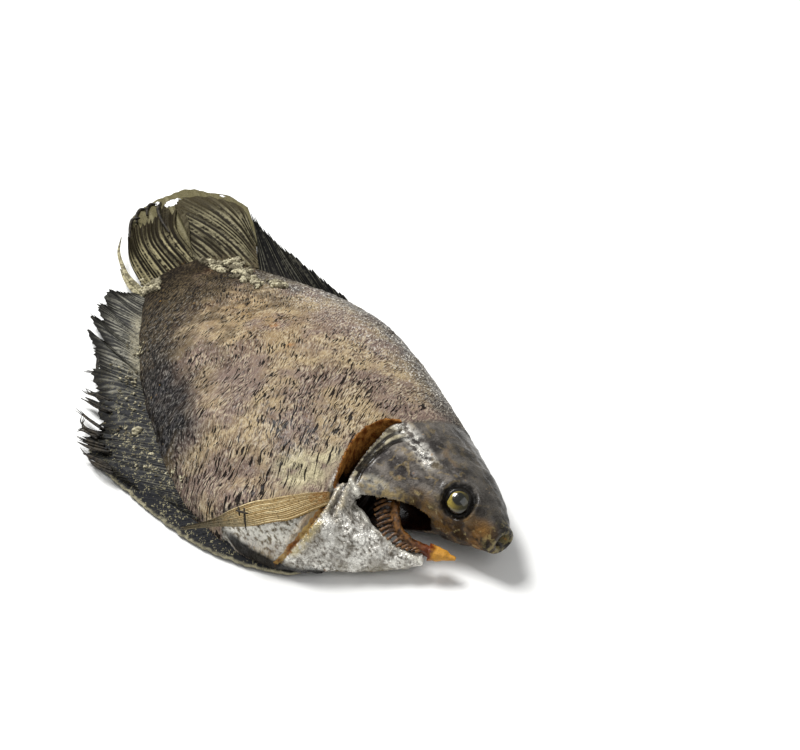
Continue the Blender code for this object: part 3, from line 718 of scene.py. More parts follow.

# %% [markdown]
# ## The colours of the skin
# From far the trunk is mauve-brown and tan, the back and the tail end are dark, the head is grey with
# yellow veins and the breast is silver. Each zone is one layer over the last, from the broadest to the
# smallest, and the dark flecks and the painted glints come last because they lie over all the zones.
# Some layers are painted light and shade: the ridge tops of the grain are painted pale as highlights and
# its grooves dark, and the band along the anal fin, the walls of the hollows and the ring round the eye
# are darkened as painted shade.


# %% the skin's material
def trunk_colour(sheet, middle, small):
    """Tan and mauve-brown with dark edges, ridge tops painted pale as highlights and grooves painted dark
    as shade, painted shade along the anal fin, painted glints and clusters of dark flecks.
    """
    paint = sheet.paint
    ridges = sheet.lumps(1, 3, 4, (1.4, 0.42, 1.5), "rows")
    ridged = sheet.lumps(6, 2, 51).fade(0.36, 0.6) * 0.75 + 0.25
    glints = sheet.lumps(1, 2, 7, (1.2, 0.42, 1), "rows").fade(0.56, 0.66)
    cluster = sheet.lumps(5, 2, 12).fade(0.44, 0.53)
    strokes = sheet.lumps(1, 1.5, 9, (2.2, 0.44, 3), "rows").fade(0.44, 0.4)
    long_strokes = sheet.lumps(1, 1.5, 17, (5.0, 0.6, 4), "rows").fade(0.415, 0.38)
    flecks = strokes * (cluster * 0.9 + 0.1) * paint("flecked") + long_strokes * paint("long_strokes") * 0.9
    colour = sheet.lumps(13, 3, 2).fade(0.4, 0.6).blend((130, 112, 102), (166, 146, 114)).layers(
        (middle.fade(0.44, 0.6) * 0.5, (106, 88, 78)),
        (paint("warm") * middle.fade(0.3, 0.6) * 0.75, (162, 135, 92)),
        (paint("brown_spots") * small.fade(0.3, 0.6) * 0.75, (74, 52, 44)),
        (paint("orange_spots") * 0.6, (176, 116, 52)),
        # painted highlight on the grain's raised ridge tops, and painted shade in its grooves
        (ridges.fade(0.5, 0.62) * ridged * 0.62, (200, 186, 158)),
        (ridges.fade(0.47, 0.38) * ridged * 0.74, (60, 48, 42)),
        (paint("rear") * sheet.lumps(6, 3, 27).fade(0.42, 0.56) * 0.62, (66, 54, 42)),
        (paint("pale_front") * (middle + small * 0.5).fade(0.5, 0.8) * 0.7, (218, 208, 168)),
        # painted shade along the anal fin base, with its ridge tops painted lighter
        (paint("anal_fin_shade") * (middle * 0.5 + 0.8) * 0.95,
         ridges.fade(0.44, 0.66).blend((14, 14, 16), (72, 70, 71))),
        # the dark back and the tail end also paint their ridge tops lighter, as highlights
        (paint("dark_back") * 0.85, ridges.fade(0.4, 0.62).blend((38, 37, 36), (96, 92, 86))),
        (paint("tail_end") * (middle + 0.45) * 0.92,
         ridges.fade(0.4, 0.65).blend((20, 17, 14), (88, 76, 56))),
        (paint("tail_root") * small.fade(0.3, 0.55) * 0.7, (24, 19, 15)),
        (paint("crumb_shadow") * middle.fade(0.3, 0.5) * 0.8, (36, 32, 29)),
        (paint("sheen") * glints * 0.6, (218, 212, 200)),
        (flecks.fade(0.0, 0.9) * 0.96, (20, 16, 14)))
    return colour, ridges


def head_colour(sheet, middle, small):
    """Dark grey-mauve bone with yellow veins, a double strip at its edge with grooves painted dark as
    shade, and silver at the nape with a painted near-white glint.
    """
    paint = sheet.paint
    cheek, folds = paint("cheek"), sheet.lumps(6, 2.5, 31) - 0.5
    corner = cheek * paint("snout").fade(0.72, 1.0) * middle.fade(0.4, 0.5)
    glint = paint("glint") * small.fade(0.38, 0.58)
    colour = middle.fade(0.3, 0.68).blend((56, 53, 52), (124, 117, 109)).layers(
        (sheet.lumps(3.2, 3, 20).fade(0.46, 0.68) * 0.6, (36, 34, 33)),
        (small.fade(0.54, 0.68) * 0.35, (156, 150, 144)),
        ((folds * folds).fade(0.0016, 0.0) * small.fade(0.4, 0.6) * 0.45, (146, 126, 84)),
        (sheet.lumps(4.4, 3, 35).fade(0.6, 0.7) * 0.3, (148, 132, 98)),
        (paint("plate_corner") * small.fade(0.25, 0.55) * 0.85, (172, 168, 156)),
        (paint("rim") * small.fade(0.38, 0.6) * 0.7, (158, 136, 86)),
        (paint("vein") * middle.fade(0.35, 0.55) * 0.6, (124, 98, 68)),
        (paint("snout") * 0.6, (46, 39, 30)),
        (paint("dark_back") * 0.8, middle.fade(0.3, 0.7).blend((44, 43, 42), (86, 82, 77))),
        (cheek * 0.85, (56, 41, 24)),
        (cheek * middle.fade(0.48, 0.6) * 0.65, (124, 92, 44)),
        (cheek * small.fade(0.6, 0.7) * 0.6, (176, 160, 112)),
        (corner * 0.5, (156, 110, 50)),
        (paint("strip") * 0.85, small.fade(0.35, 0.65).blend((84, 76, 62), (180, 171, 142))),
        # painted shade: the grooves of the gill strip, which the relief sinks, are painted near-black
        (paint("grooves").fade(0.25, 0.6) * 0.92, (22, 17, 13)),
        (paint("lips") * 0.8, small.fade(0.46, 0.6).blend((26, 22, 17), (140, 128, 84))),
        (paint("forehead") * 0.35, (62, 60, 56)),
        # painted highlight: a near-white glint over the silver at the nape
        (glint * 0.95, (228, 224, 214)))
    return colour, glint


def breast_colour(sheet, middle, small):
    """Wrinkled silver with grey mottles and painted near-white highlights, thin dark lines painted as the
    shade of wrinkles and creases, and painted shade at the folded hinge.
    """
    paint = sheet.paint
    wrinkles = sheet.lumps(0.8, 4, 6, (1.9, 0.8, 1))
    folds = sheet.lumps(3.4, 3, 41, (1.5, 0.8, 1)) - 0.5
    return wrinkles.fade(0.3, 0.62).blend((110, 104, 94), (248, 245, 236)).layers(
        (middle.fade(0.48, 0.62) * 0.6, (112, 105, 94)),
        (sheet.lumps(7, 3, 3).fade(0.46, 0.6) * 0.6, (106, 98, 84)),
        # painted highlight: near-white patches over the silver
        (sheet.lumps(5, 3, 29).fade(0.5, 0.62) * 0.6, (252, 250, 242)),
        # painted shade: thin dark lines where the skin would fold, with no relief under them
        ((folds * folds).fade(0.0018, 0.0) * small.fade(0.35, 0.6) * 0.5, (70, 62, 52)),
        (paint("breast_foot") * middle.fade(0.4, 0.6) * 0.6, (116, 104, 74)),
        # painted shade at the folded hinge
        (paint("hinge_shade") * middle.fade(0.3, 0.5) * 0.8,
         wrinkles.fade(0.35, 0.6).blend((50, 44, 38), (138, 128, 110))),
        # painted shade in the hinge's creases, which the relief sinks
        (paint("hinge_creases") * 0.8, (56, 46, 38)),
        (paint("pleats") * small.fade(0.3, 0.6) * 0.8, (204, 192, 166)),
        (paint("throat_rim") * 0.85, (240, 236, 222)))


def skin_look(sheet):
    """Mottled dry skin, from the tan trunk to the grey head and the silver breast."""
    paint = sheet.paint
    middle, small, tiny = sheet.lumps(4.5, 3, 5), sheet.lumps(1.5, 3, 1), sheet.lumps(0.45, 2, 8)
    head, breast, patch, crease = paint("head"), paint("breast"), paint("patch"), paint("crease")
    trunk, ridges = trunk_colour(sheet, middle, small)
    skull, glint = head_colour(sheet, middle, small)
    wrinkles = sheet.lumps(0.9, 4, 14, (1.6, 0.8, 1)).fade(0.34, 0.56)
    colour = head.blend(trunk, skull).layers(
        (breast, breast_colour(sheet, middle, small)),
        (patch * 0.95, wrinkles.blend((130, 120, 100), (252, 249, 238))),
        # painted shade: a near-black stripe along the lower belly, over a low raised fold
        (paint("stripe").fade(0.1, 0.7) * 0.95, (26, 26, 27)),
        (paint("flap") * small.fade(0.3, 0.55) * 0.85, (198, 180, 126)),
        ((crease + small * 1.8 - 0.9).fade(0.3, 0.7) * 0.9,
         middle.fade(0.4, 0.6).blend((150, 98, 44), (190, 158, 92))),
        (crease.fade(0.6, 1.0) * small.fade(0.6, 0.4) * 0.8, (104, 56, 22)),
        # painted shade: a near-black ring round the eye, in the sunken groove of its socket
        ((paint("eye_away") + small * 1.2 - 0.6).fade(4.7, 4.1) * 0.95, (20, 18, 15)),
        # dark dried flesh and painted shade: the walls of the hollows are painted almost black
        (paint("hollow"), small.fade(0.3, 0.7).blend((18, 11, 8), (44, 25, 14))),
        (paint("slit_glow"), small.fade(0.3, 0.65).blend((116, 66, 30), (186, 128, 66))))
    shine = (breast + patch + glint).fade(0.1, 1.0)
    height = tiny * 0.4 + small * (shine * 0.6 + 0.25) + ridges * (1 - head) * (1 - breast) * 0.8
    return {"Base Color": colour, "Metallic": shine * 0.35, "Specular IOR Level": 0.06,
            "Roughness": 0.46 - head * 0.12 - shine * 0.14 + tiny * 0.16, "Coat Roughness": 0.22,
            "Coat Weight": (head * 0.5 + shine * 0.4 + paint("sheen") * 0.25) * middle.fade(0.3, 0.6),
            "Normal": bumps(height, 0.9)}


dress(skin, new_material("dried skin", skin_look), "dried_skin", "gourami_body")
skin.data.shade_smooth()

# %% [markdown]
# ## Fins
# A dried fin is a fan of stiff rays with thin skin shrunk between them. It could be a flat plate with a
# ray texture, but its ragged outline is what the eye reads first. So each fin is a fine grid: every column
# has its own reach, long on the rays and short between them, and the rays stand proud as small ridges.

# %% base lines and tip lines of the fins
ANAL_BASE = [(50, -49.5, 3.4), (64, -51.6, 3.6), (78, -49.4, 3.8), (92, -45.2, 4.0),
             (108, -40.0, 4.0), (122, -34.4, 4.2), (136, -27.2, 4.6), (152, -16.5, 5.2)]
ANAL_EDGE = [(0, 66, -57.6), (0.08, 76, -60.4), (0.15, 83, -62.5), (0.19, 88, -62.7), (0.215, 97.9, -65.6),
             (0.235, 93.5, -61.8), (0.26, 101.3, -64.1), (0.28, 97.5, -60.4), (0.3, 103.7, -63.1),
             (0.32, 100.5, -59.2), (0.345, 106.3, -61.6), (0.365, 103, -57.8), (0.385, 106.7, -56),
             (0.4, 111, -54.8), (0.42, 119.7, -55.3), (0.435, 115, -53.2), (0.455, 123.5, -53.3),
             (0.47, 118.5, -51.8), (0.49, 122, -50.4), (0.51, 129.2, -48.9), (0.53, 130.5, -45.8),
             (0.56, 135.5, -44.7), (0.59, 141, -42.8), (0.62, 150.4, -40.2), (0.64, 145, -40),
             (0.655, 140.9, -39.2), (0.68, 151, -38), (0.7, 157.4, -36.7), (0.72, 154, -35.8),
             (0.735, 150, -35.1), (0.76, 157, -33.8), (0.78, 160.7, -32.4), (0.8, 159.4, -31.4),
             (0.815, 156.3, -30.5), (0.845, 162.5, -29), (0.87, 166.1, -26), (0.9, 164, -25.4),
             (0.93, 161.4, -23.7), (0.965, 158.5, -21.6), (1, 154.5, -19)]
ANAL_EDGE_HEIGHT = [(0, 2.2), (0.3, 2.8), (0.6, 3.6), (0.85, 4.5), (1, 5.0)]
DORSAL_BASE = [(97, 25.2, 9.4), (112, 23.6, 9.0), (126, 20.0, 8.4), (141, 15.6, 7.8)]
DORSAL_TIPS = [(107, 27.6, 10.4), (120, 28.2, 10.8), (134, 28.0, 11.2), (148, 27.8, 11.6),
               (160, 29.2, 11.8), (171, 31.2, 11.8), (157, 25.6, 10.6)]
TAIL_LOW_BASE = [(151, -17.5, 5.0), (155, -11.0, 5.4), (156.5, -3.0, 5.8), (156, 5.0, 6.4)]
TAIL_LOW_MIDDLE = [(172, -14.4, 6.6), (176.5, -8.8, 7.8), (178, -2.4, 8.8), (176, 5.6, 10.4)]
TAIL_LOW_TIPS = [(185.5, -8.8, 8.6), (189.8, -5.8, 10.0), (193.2, -1.6, 10.8), (195.2, 4.8, 11.2),
                 (193.8, 8.8, 11.6), (189.5, 12.6, 12.0)]
TAIL_HIGH_BASE = [(158, 1.0, 7.8), (155, 7.0, 8.2), (150, 12.0, 8.4), (142, 16.4, 8.4)]
TAIL_HIGH_TIPS = [(183, 13.6, 14.8), (191, 11.2, 14.4), (195, 15.4, 14.0), (192.5, 21.4, 13.4),
                  (187, 27.0, 12.8), (178, 30.6, 12.0), (166, 29.0, 10.8)]
TAIL_BACK_BASE = [(176, -7.0, 6.0), (171, -1.0, 7.0), (165, 6.0, 8.0), (163, 14.0, 8.2), (162, 21.0, 8.2),
                  (156.0, 26.0, 8.0)]
TAIL_BACK_TIPS = [(190, -6.0, 9.8), (193.8, -1.4, 11.2), (196.2, 5.2, 12.0), (197.0, 11.5, 12.8),
                  (197.0, 17.5, 13.4), (194.8, 22.3, 13.2), (190.0, 26.4, 12.6), (184.6, 30.4, 12.0),
                  (175.0, 32.4, 11.4)]
PECTORAL_LINES = [[(32.6, -29.2, 16.4), (31.2, -30.0, 16.4), (29.8, -30.6, 15.6)],
                  [(34.3, -33.3, 17.2), (32.2, -34.2, 17.2), (29.8, -34.8, 16.2)],
                  [(36.4, -37.5, 17.2), (33.8, -38.0, 16.6), (30.7, -37.9, 15.4)],
                  [(38.8, -41.1, 16.4), (35.6, -41.4, 15.8), (31.9, -40.5, 14.6)],
                  [(41.5, -44.0, 15.2), (38.2, -44.0, 14.6), (34.1, -43.0, 13.8)],
                  [(44.0, -48.7, 13.4), (42.0, -49.0, 12.4), (38.6, -47.4, 11.4)],
                  [(46.8, -52.9, 10.4), (46.2, -53.2, 10.0), (45.0, -52.6, 9.2)],
                  [(52.6, -58.7, 6.4), (52.4, -58.8, 6.2), (52.2, -58.9, 6.0)]]

print("fins drawn: anal with", len(ANAL_EDGE), "points along its edge, tail with",
      len(TAIL_LOW_TIPS + TAIL_HIGH_TIPS + TAIL_BACK_TIPS), "at its tips")


# %% a thin solid between two grids
FLOOR_GAP = 0.02  # millimetres that a fin stays above the floor


def plate_at(lines, across, along):
    """Places on the sheet spanned by a few cross lines, from the root line to the tip line."""
    points = np.stack([route(line, across) for line in lines])
    if len(lines) == 2:
        return points[0] + (points[1] - points[0]) * along[:, None]
    return np.stack([route(points[:, i], along[i]) for i in range(len(along))])


def sheet_part(top, bottom, ray, strand, holes=()):
    """A thin solid between two grids of points, without the cells in holes given as (across, along) and
    their widths."""
    rows, columns, _ = top.shape
    size = rows * columns
    along, across = np.meshgrid(np.linspace(0, 1, rows), np.linspace(0, 1, columns), indexing="ij")
    whole = np.ones((rows, columns), bool)
    for spot, far, wide, long in holes:
        whole &= ((across - spot) / wide) ** 2 + ((along - far) / long) ** 2 >= 1
    at = np.arange(size).reshape(rows, columns)
    upper = np.stack([at[:-1, :-1], at[:-1, 1:], at[1:, 1:], at[1:, :-1]], -1)[whole[:-1, :-1]]
    cells = np.stack([upper, upper[:, [0, 3, 2, 1]] + size], 1).reshape(-1, 4)
    edge = np.concatenate([at[0], at[1:, -1], at[-1, -2::-1], at[-2:0:-1, 0]])
    after = np.roll(edge, -1)
    rim = np.stack([edge, edge + size, after + size, after], -1)
    points = np.concatenate([top.reshape(-1, 3), bottom.reshape(-1, 3)])
    points[:, 2] = np.maximum(points[:, 2], FLOOR_GAP)
    paint = {"ray": ray, "strand": strand, "along": along, "across": across}
    return {"points": points, "faces": np.concatenate([cells, rim]).tolist(),
            "paint": {name: np.tile(values.ravel(), 2) for name, values in paint.items()}}


middle = plate_at([DORSAL_BASE, DORSAL_TIPS], np.array([0.5]), np.array([0.5]))
print("the middle of the dorsal fin lies at", middle.round(1))

# %% a fin as a fine grid
TIP_THINNING = 0.72  # share of its thickness that a fin loses towards its tip
RAY_HALF_WIDTH = 0.36  # how far a ray's own tip reaches to each side, as a share of the ray's spacing


def fin_part(lines, rays, seed, starts=((0, 0, 0), (1, 1, 0)), ends=((0, 0, 1), (1, 1, 1)), ragged=0.14,
             notch=0.1, ridge=0.16, thick=0.42, rows=36, per_ray=6, curl=0.6, sway=0.0, sink=2.5, holes=()):
    """Both faces of a fin. Each ray runs over the sheet from its start to its end, given as (u, across,
    along), stands proud and reaches past the skin beside it, which is torn between the rays."""
    draw = random.Random(seed)
    strength = [draw.uniform(0.45, 1) for _ in range(rays)]
    reach, bends = [], []
    for u in (np.arange(rays) + 0.5) / rays:
        reach.append(1 + ragged * (0.6 * wave(u * 24, seed, 0) + draw.uniform(-0.6, 0.2)))
        bends.append(sway * (0.6 + wave(u * 14, seed, 9) + 0.3 * draw.uniform(-1, 1)))
    tear = [notch * draw.uniform(0.3, 1.6) for _ in range(rays + 1)]
    columns = rays * per_ray + 1
    top, bottom = np.empty((2, rows, columns, 3))
    ray, strand = np.empty((2, rows, columns))
    down = np.linspace(0, 1, rows)
    body = thick * (1 - TIP_THINNING * down)
    starts, ends = np.array(starts).T, np.array(ends).T
    for i in range(columns):
        u = i / (columns - 1)
        ray_at = np.clip(u * rays + 0.9 * wave(u * rays * 0.4, seed, 5), 0, rays - 0.001)
        k = int(ray_at)
        off = ray_at - k - 0.5  # 0 on the ray, half at the middle of the skin beside it
        skin_reach = reach[k] - tear[k + (off > 0)]
        length = skin_reach + (reach[k] - skin_reach) * max(1 - abs(off) / RAY_HALF_WIDTH, 0)
        first = np.array([np.interp(u, starts[0], column) for column in starts[1:]])
        last = np.array([np.interp(u, ends[0], column) for column in ends[1:]])
        course = first + (last - first) * (down * length)[:, None]
        line = plate_at(lines, course[:, 0], course[:, 1])
        way = (line[-1] - line[0]) / np.linalg.norm(line[-1] - line[0])
        line -= way * sink * ((1 - down) ** 6)[:, None]
        line += np.array([-way[1], way[0], 0]) * (bends[k] * down ** 4)[:, None]
        line[:, 2] += curl * down ** 2 * np.array([wave(u * 9, w * 2.5, seed) for w in down])
        lift = ridge * math.cos(2 * math.pi * off) * (1 - 0.5 * down) * strength[k]
        top[:, i] = line + np.array([0, 0, 1]) * (body / 2 + lift)[:, None]
        bottom[:, i] = line - np.array([0, 0, 1]) * (body / 2 - lift)[:, None]
        ray[:, i] = (1 - 2 * abs(off)) * strength[k]
        strand[:, i] = [0.5 + wave(u * rays * 2.2, w * 2.5, seed + 0.5) for w in down]
    return sheet_part(top, bottom, ray, strand, holes)


small_fin = fin_part([DORSAL_BASE, DORSAL_TIPS], 2, 1)
print("a fin of two rays has", len(small_fin["faces"]), "faces")

# %% [markdown]
# ## How a dried fin looks
# The rays of a dried fin are pale horn, and the skin between them has turned dark. Near the root it is
# crusty, and towards the tip the colour of both fades into one. All fins share this look and differ in
# their colours and in where the crust, the soot and the tips begin.

# %% the look of a fin
BEFORE, BEYOND = (-2.0, -1.0), (1.5, 2.5)  # stretches that lie outside a fin's width, on either side


def fin_look(sheet, ray_colour, skin_colour, root_colour, tip_colour, root_end=0.3, tip_start=0.75,
             sooty=BEFORE, pale=(0.35, 0.85), crust=BEFORE):
    """Thin pale rays over darker skin, a crusty root, a darker tip, and a sooty part of its width."""
    middle, small, tiny = sheet.lumps(4, 3, 2), sheet.lumps(1.4, 3, 3), sheet.lumps(0.4, 2, 6)
    ray, along, across, strand = map(sheet.paint, ("ray", "along", "across", "strand"))
    root = (along + small * 0.6 - 0.3).fade(root_end, root_end * 0.5) * (tiny + small).fade(0.75, 1.1)
    root = root * across.fade(0.9, 0.8) * across.fade(*crust)
    soot = (across + middle * 0.3 - 0.15).fade(sooty[1], sooty[0])
    faded = (ray + small * 0.5 - 0.25).fade(*pale) * (middle * 1.2 + 0.2)
    colour = faded.blend(skin_colour, ray_colour).layers(
        (strand.fade(0.5, 0.24) * 0.7, skin_colour),
        (strand.fade(0.6, 0.8) * small.fade(0.4, 0.6) * 0.6, ray_colour),
        (root * 0.85, root_colour),
        (soot * 0.68, (49, 50, 53)),
        (soot * tiny.fade(0.55, 0.6) * small.fade(0.48, 0.56), (176, 168, 134)),
        ((along + small * 0.3 - 0.15).fade(tip_start, tip_start + 0.3) * 0.85, tip_colour),
        (tiny.fade(0.52, 0.64) * 0.45, (20, 19, 18)))
    return {"Base Color": colour, "Roughness": small * 0.25 + 0.42, "Specular IOR Level": 0.05,
            "Normal": bumps(tiny * 0.5 + small * 0.3 + ray * 0.6, 0.4)}


print("soot is left out by ending it at", BEFORE, "of the width")

# %% [markdown]
# ## Making the fins
# All fins come from the one function, and only their sizes differ. The long anal fin has many short rays
# with torn skin, the tail is two fans that have dried one over the other, with a pale membrane behind
# them, and the pectoral fin is a narrow strap that lies along the belly.

# %% the fins
BLACK = (24, 23, 21)
ANAL_RAYS = 92
share = np.linspace(0, 1, 2 * ANAL_RAYS + 1)
edge_u, edge_s, edge_v = np.array(ANAL_EDGE, float).T
anal_edge = np.column_stack([np.interp(share, edge_u, edge_s), np.interp(share, edge_u, edge_v),
                             curve(ANAL_EDGE_HEIGHT, share)])
anal = fin_part([ANAL_BASE, anal_edge], ANAL_RAYS, 21, ragged=0.03, notch=0.05, sway=0.5, ridge=0.12,
                rows=44, per_ray=8, starts=((0, 0, 0), (0.45, 0.52, 0), (0.8, 0.87, 0), (1, 1, 0)))
dorsal = fin_part([DORSAL_BASE, DORSAL_TIPS], 26, 22, notch=0.08, ridge=0.1)
low = fin_part([TAIL_LOW_BASE, TAIL_LOW_MIDDLE, TAIL_LOW_TIPS], 15, 23, ragged=0.05, notch=0.03, per_ray=10,
               ridge=0.3)
high = fin_part([TAIL_HIGH_BASE, TAIL_HIGH_TIPS], 17, 24, ragged=0.05, notch=0.02, per_ray=12, ridge=0.28,
                sink=0.8, starts=((0, 0.1, 0), (0.5, 1, 0), (1, 1, 0.7)),
                ends=((0, 0, 0.2), (0.25, 0, 0.76), (0.36, 0.04, 0.86), (0.5, 0.16, 0.86),
                      (0.7, 0.44, 0.92), (1, 0.92, 0.98)))
behind = fin_part([TAIL_BACK_BASE, TAIL_BACK_TIPS], 12, 25, ragged=0.02, notch=0.01, ridge=0.08, thick=0.3,
                  curl=0.5, rows=60, per_ray=14,
                  holes=((0.41, 0.84, 0.07, 0.06), (0.125, 0.88, 0.015, 0.03), (0.3, 0.93, 0.018, 0.035),
                         (0.82, 0.95, 0.02, 0.02)))
strap = fin_part(PECTORAL_LINES, 14, 26, ragged=0.03, notch=0.02, ridge=0.12, thick=0.5, rows=60, curl=0.3,
                 sink=0.6)
for name, part, label, colours, ways in (
        ("anal_fin", anal, "anal fin", ((150, 147, 134), (54, 54, 53), (176, 169, 146), BLACK),
         dict(root_end=0.42, tip_start=0.62, sooty=(0.42, 0.62), pale=(0.15, 0.75), crust=(0.5, 0.62))),
        ("dorsal_fin", dorsal, "dorsal fin", ((88, 86, 76), (20, 20, 20), (40, 38, 36), BLACK), {}),
        ("tail_low", low, "lower tail", ((160, 151, 117), (28, 25, 18), (100, 76, 44), (42, 37, 26)),
         dict(root_end=0.12, tip_start=0.4, pale=(0.2, 0.6))),
        ("tail_high", high, "upper tail", ((144, 137, 110), (38, 34, 25), (98, 88, 68), (66, 60, 44)),
         dict(root_end=0.12, tip_start=0.6, pale=(0.2, 0.65))),
        ("tail_back", behind, "tail membrane", ((126, 120, 94), (102, 96, 70), (70, 64, 46), (84, 78, 56)),
         dict(tip_start=0.92)),
        ("pectoral_fin", strap, "pectoral fin",
         ((244, 226, 180), (166, 138, 92), (176, 126, 66), (98, 92, 78)),
         dict(root_end=0.16, tip_start=0.62, pale=(0.2, 0.6)))):
    dress(make_object(name, part), new_material(label, fin_look, *colours, **ways))

# %% [markdown]
# ## The layer underneath
# Along the lower edge of the belly the skin of the hidden side shows as a thin dark layer with a pale rim.
# It is a narrow sheet between two lines, one tucked in under the belly and one on the floor.

# %% the layer underneath
UNDER_INNER = [(98, -57.5, 3.0), (85.6, -59.6, 3.2), (69.3, -56.8, 3.4), (54.4, -53.4, 3.4),
               (42, -49.0, 3.2), (30.5, -42.4, 3.2), (23, -34.6, 3.4)]
UNDER_OUTER = [(99, -62.8, 0.9), (90.6, -63.1, 1.1), (82.7, -62.3, 1.1), (67.6, -60.1, 1.0),
               (52.4, -56.9, 1.0), (40.9, -52.2, 1.0), (30.2, -45.2, 1.2), (21.9, -36.2, 1.6)]


def under_part(columns=260, rows=14):
    """A narrow wavy sheet from under the belly down to the floor."""
    u, down = np.linspace(0, 1, columns), np.linspace(0, 1, rows)[:, None, None]
    inner, outer = route(UNDER_INNER, u), route(UNDER_OUTER, u)
    middle = inner + (outer - inner) * down * fade(u, 1.02, 0.88)[:, None]
    waves = np.array([wave(share * 40, 0, 5) for share in u])
    middle[:, :, 1] += 0.5 * waves * down[:, :, 0]
    middle[:, :, 2] = np.maximum(middle[:, :, 2] + 0.25 * waves, 0.4)
    lift = np.array([0, 0, 0.3])
    rays = [0.4 + 0.5 * wave(share * 110, 0, 3) for share in u]
    strand = np.full((rows, columns), 0.55)
    return sheet_part(middle + lift, middle - lift, np.tile(rays, (rows, 1)), strand)


dress(make_object("under_layer", under_part()),
      new_material("under layer", fin_look, (58, 56, 52), (28, 28, 28), (30, 30, 30), (196, 188, 156),
                   root_end=0.2, tip_start=0.82, sooty=BEYOND))

# %% [markdown]
# ## Loose rays and hairs
# A few rays have come away: a pale one beside the tail, fine black hairs along the lower edge of the anal
# fin and a dark thread over the pectoral fin. Thin tubes along smooth lines are enough for all of them.

# %% lines of the rays and hairs
LOOSE_RAY = [(152, -18.0, 5.0), (160.7, -17.9, 5.0), (168, -17.6, 5.0), (175, -16.2, 5.2),
             (183, -13.6, 5.8), (190, -9.2, 6.6)]
SHORT_RAY = [(154, -19.0, 4.6), (161, -19.4, 4.4), (168, -18.6, 4.4), (174, -17.4, 4.6)]
HAIRS = [[(116.2, -58.8), (111.5, -58.4), (107.9, -58.0), (103.0, -57.2)],
         [(111.8, -58.6), (108.4, -60.4), (104.0, -60.2), (100.0, -58.4)],
         [(106.3, -62.6), (105.4, -61.6), (103.0, -60.8), (98.6, -60.0)],
         [(104.4, -63.6), (101.2, -62.6), (98.4, -61.4), (94.6, -59.6)],
         [(101.8, -64.6), (97.6, -63.2), (94.4, -61.8), (91.0, -59.8)],
         [(98.4, -66.0), (94.8, -64.8), (91.0, -63.6), (86.6, -62.2)],
         [(123.8, -53.8), (120.6, -53.4), (117.6, -52.2), (113.0, -50.6)],
         [(120.0, -55.6), (116.6, -55.0), (112.4, -54.2), (107.6, -52.6)],
         [(95.0, -65.8), (91.6, -65.0), (88.0, -63.8), (84.0, -62.2)],
         [(131.0, -49.6), (128.4, -47.2), (130.6, -45.6), (134.0, -43.6)]]
HAIR_LIMIT = -64.8  # no hair reaches further out than this v, or the fish would grow wider than its solid
TAIL_CURLS = [[(184.0, -8.6, 8.6), (188.0, -6.4, 10.0), (190.6, -4.0, 11.4), (189.2, -1.8, 12.0)],
              [(188.6, -3.4, 10.8), (192.4, -1.6, 11.4), (194.8, 1.2, 11.8), (192.8, 2.8, 12.4)],
              [(190.0, 1.2, 11.6), (193.6, 3.2, 12.0), (195.4, 5.4, 12.2), (193.6, 7.0, 12.6)],
              [(176.0, 2.6, 10.6), (184.0, 3.6, 11.8), (190.6, 5.8, 12.6), (194.0, 8.8, 12.6)]]
THREADS = [[(41.8, -48.0, 15.4), (41.0, -48.3, 14.9), (40.2, -48.7, 14.2)],
           [(40.8, -47.0, 15.4), (38.8, -48.1, 13.8), (37.8, -48.6, 11.4)],
           [(41.4, -48.9, 15.2), (39.8, -47.9, 15.2), (38.8, -47.0, 15.0)]]
HAIR_RADII, HAIR_HEIGHTS = [0.06, 0.2, 0.32, 0.34], np.array([2.6, 3.0, 3.4, 3.8])
CURL_RADII, THREAD_RADII = [0.3, 0.55, 0.6, 0.2], [0.2, 0.28, 0.22, 0.12]

print(len(HAIRS), "hairs,", len(TAIL_CURLS), "curls and", len(THREADS), "threads are drawn")

# %% loose rays and hairs
def hair_parts(each=3):
    """Fine curved hairs, each from its end past the edge of the anal fin back into the fin."""
    draw = random.Random(31)
    parts = []
    for line in HAIRS:
        for k in range(each):
            move = np.array([draw.uniform(-1.6, 0.8), draw.uniform(-0.3, 1.0)]) * (k > 0)
            flat = np.array(line) + move
            flat[0, 1] += draw.uniform(-0.6, 0.6) * (k > 0)
            flat[:, 1] = np.maximum(flat[:, 1], HAIR_LIMIT)
            heights = HAIR_HEIGHTS + draw.uniform(-0.5, 0.5)
            parts.append(tube(np.column_stack([flat, heights]), HAIR_RADII, sides=6))
    return parts


def thin_look(sheet, light, dark):
    """One colour broken up by fine noise, for hairs and rays."""
    colour = sheet.lumps(1.2, 3, 3).fade(0.35, 0.65).blend(dark, light).layers(
        (sheet.paint("along").fade(0.7, 1.0) * 0.6, BLACK))
    return {"Base Color": colour, "Roughness": 0.55, "Normal": bumps(sheet.lumps(0.4, 2, 6), 0.2)}


curls = [tube(line, CURL_RADII, sides=8) for line in TAIL_CURLS]
threads = [tube(line, THREAD_RADII, sides=8, samples=16) for line in THREADS]
dress(make_object("fin_hairs", *hair_parts(), *curls, *threads),
      new_material("black hair", thin_look, (66, 60, 50), (26, 24, 22)))
loose = make_object("loose_ray", tube(LOOSE_RAY, [1.0, 1.0, 0.8, 0.7, 0.5, 0.15], 12, 50, flat=0.5),
                    tube(SHORT_RAY, [1.1, 1.0, 0.7, 0.2], 12, 30, flat=0.5))
dress(loose, new_material("loose ray", thin_look, (170, 162, 130), (92, 86, 64)))

# %% [markdown]
# ## Crumbs
# Dried crumbs cling to the roots of the tail and along the anal fin. Each is a small ball pushed out of
# shape by noise. The coarse ones and the fine ones are joined into one mesh each.

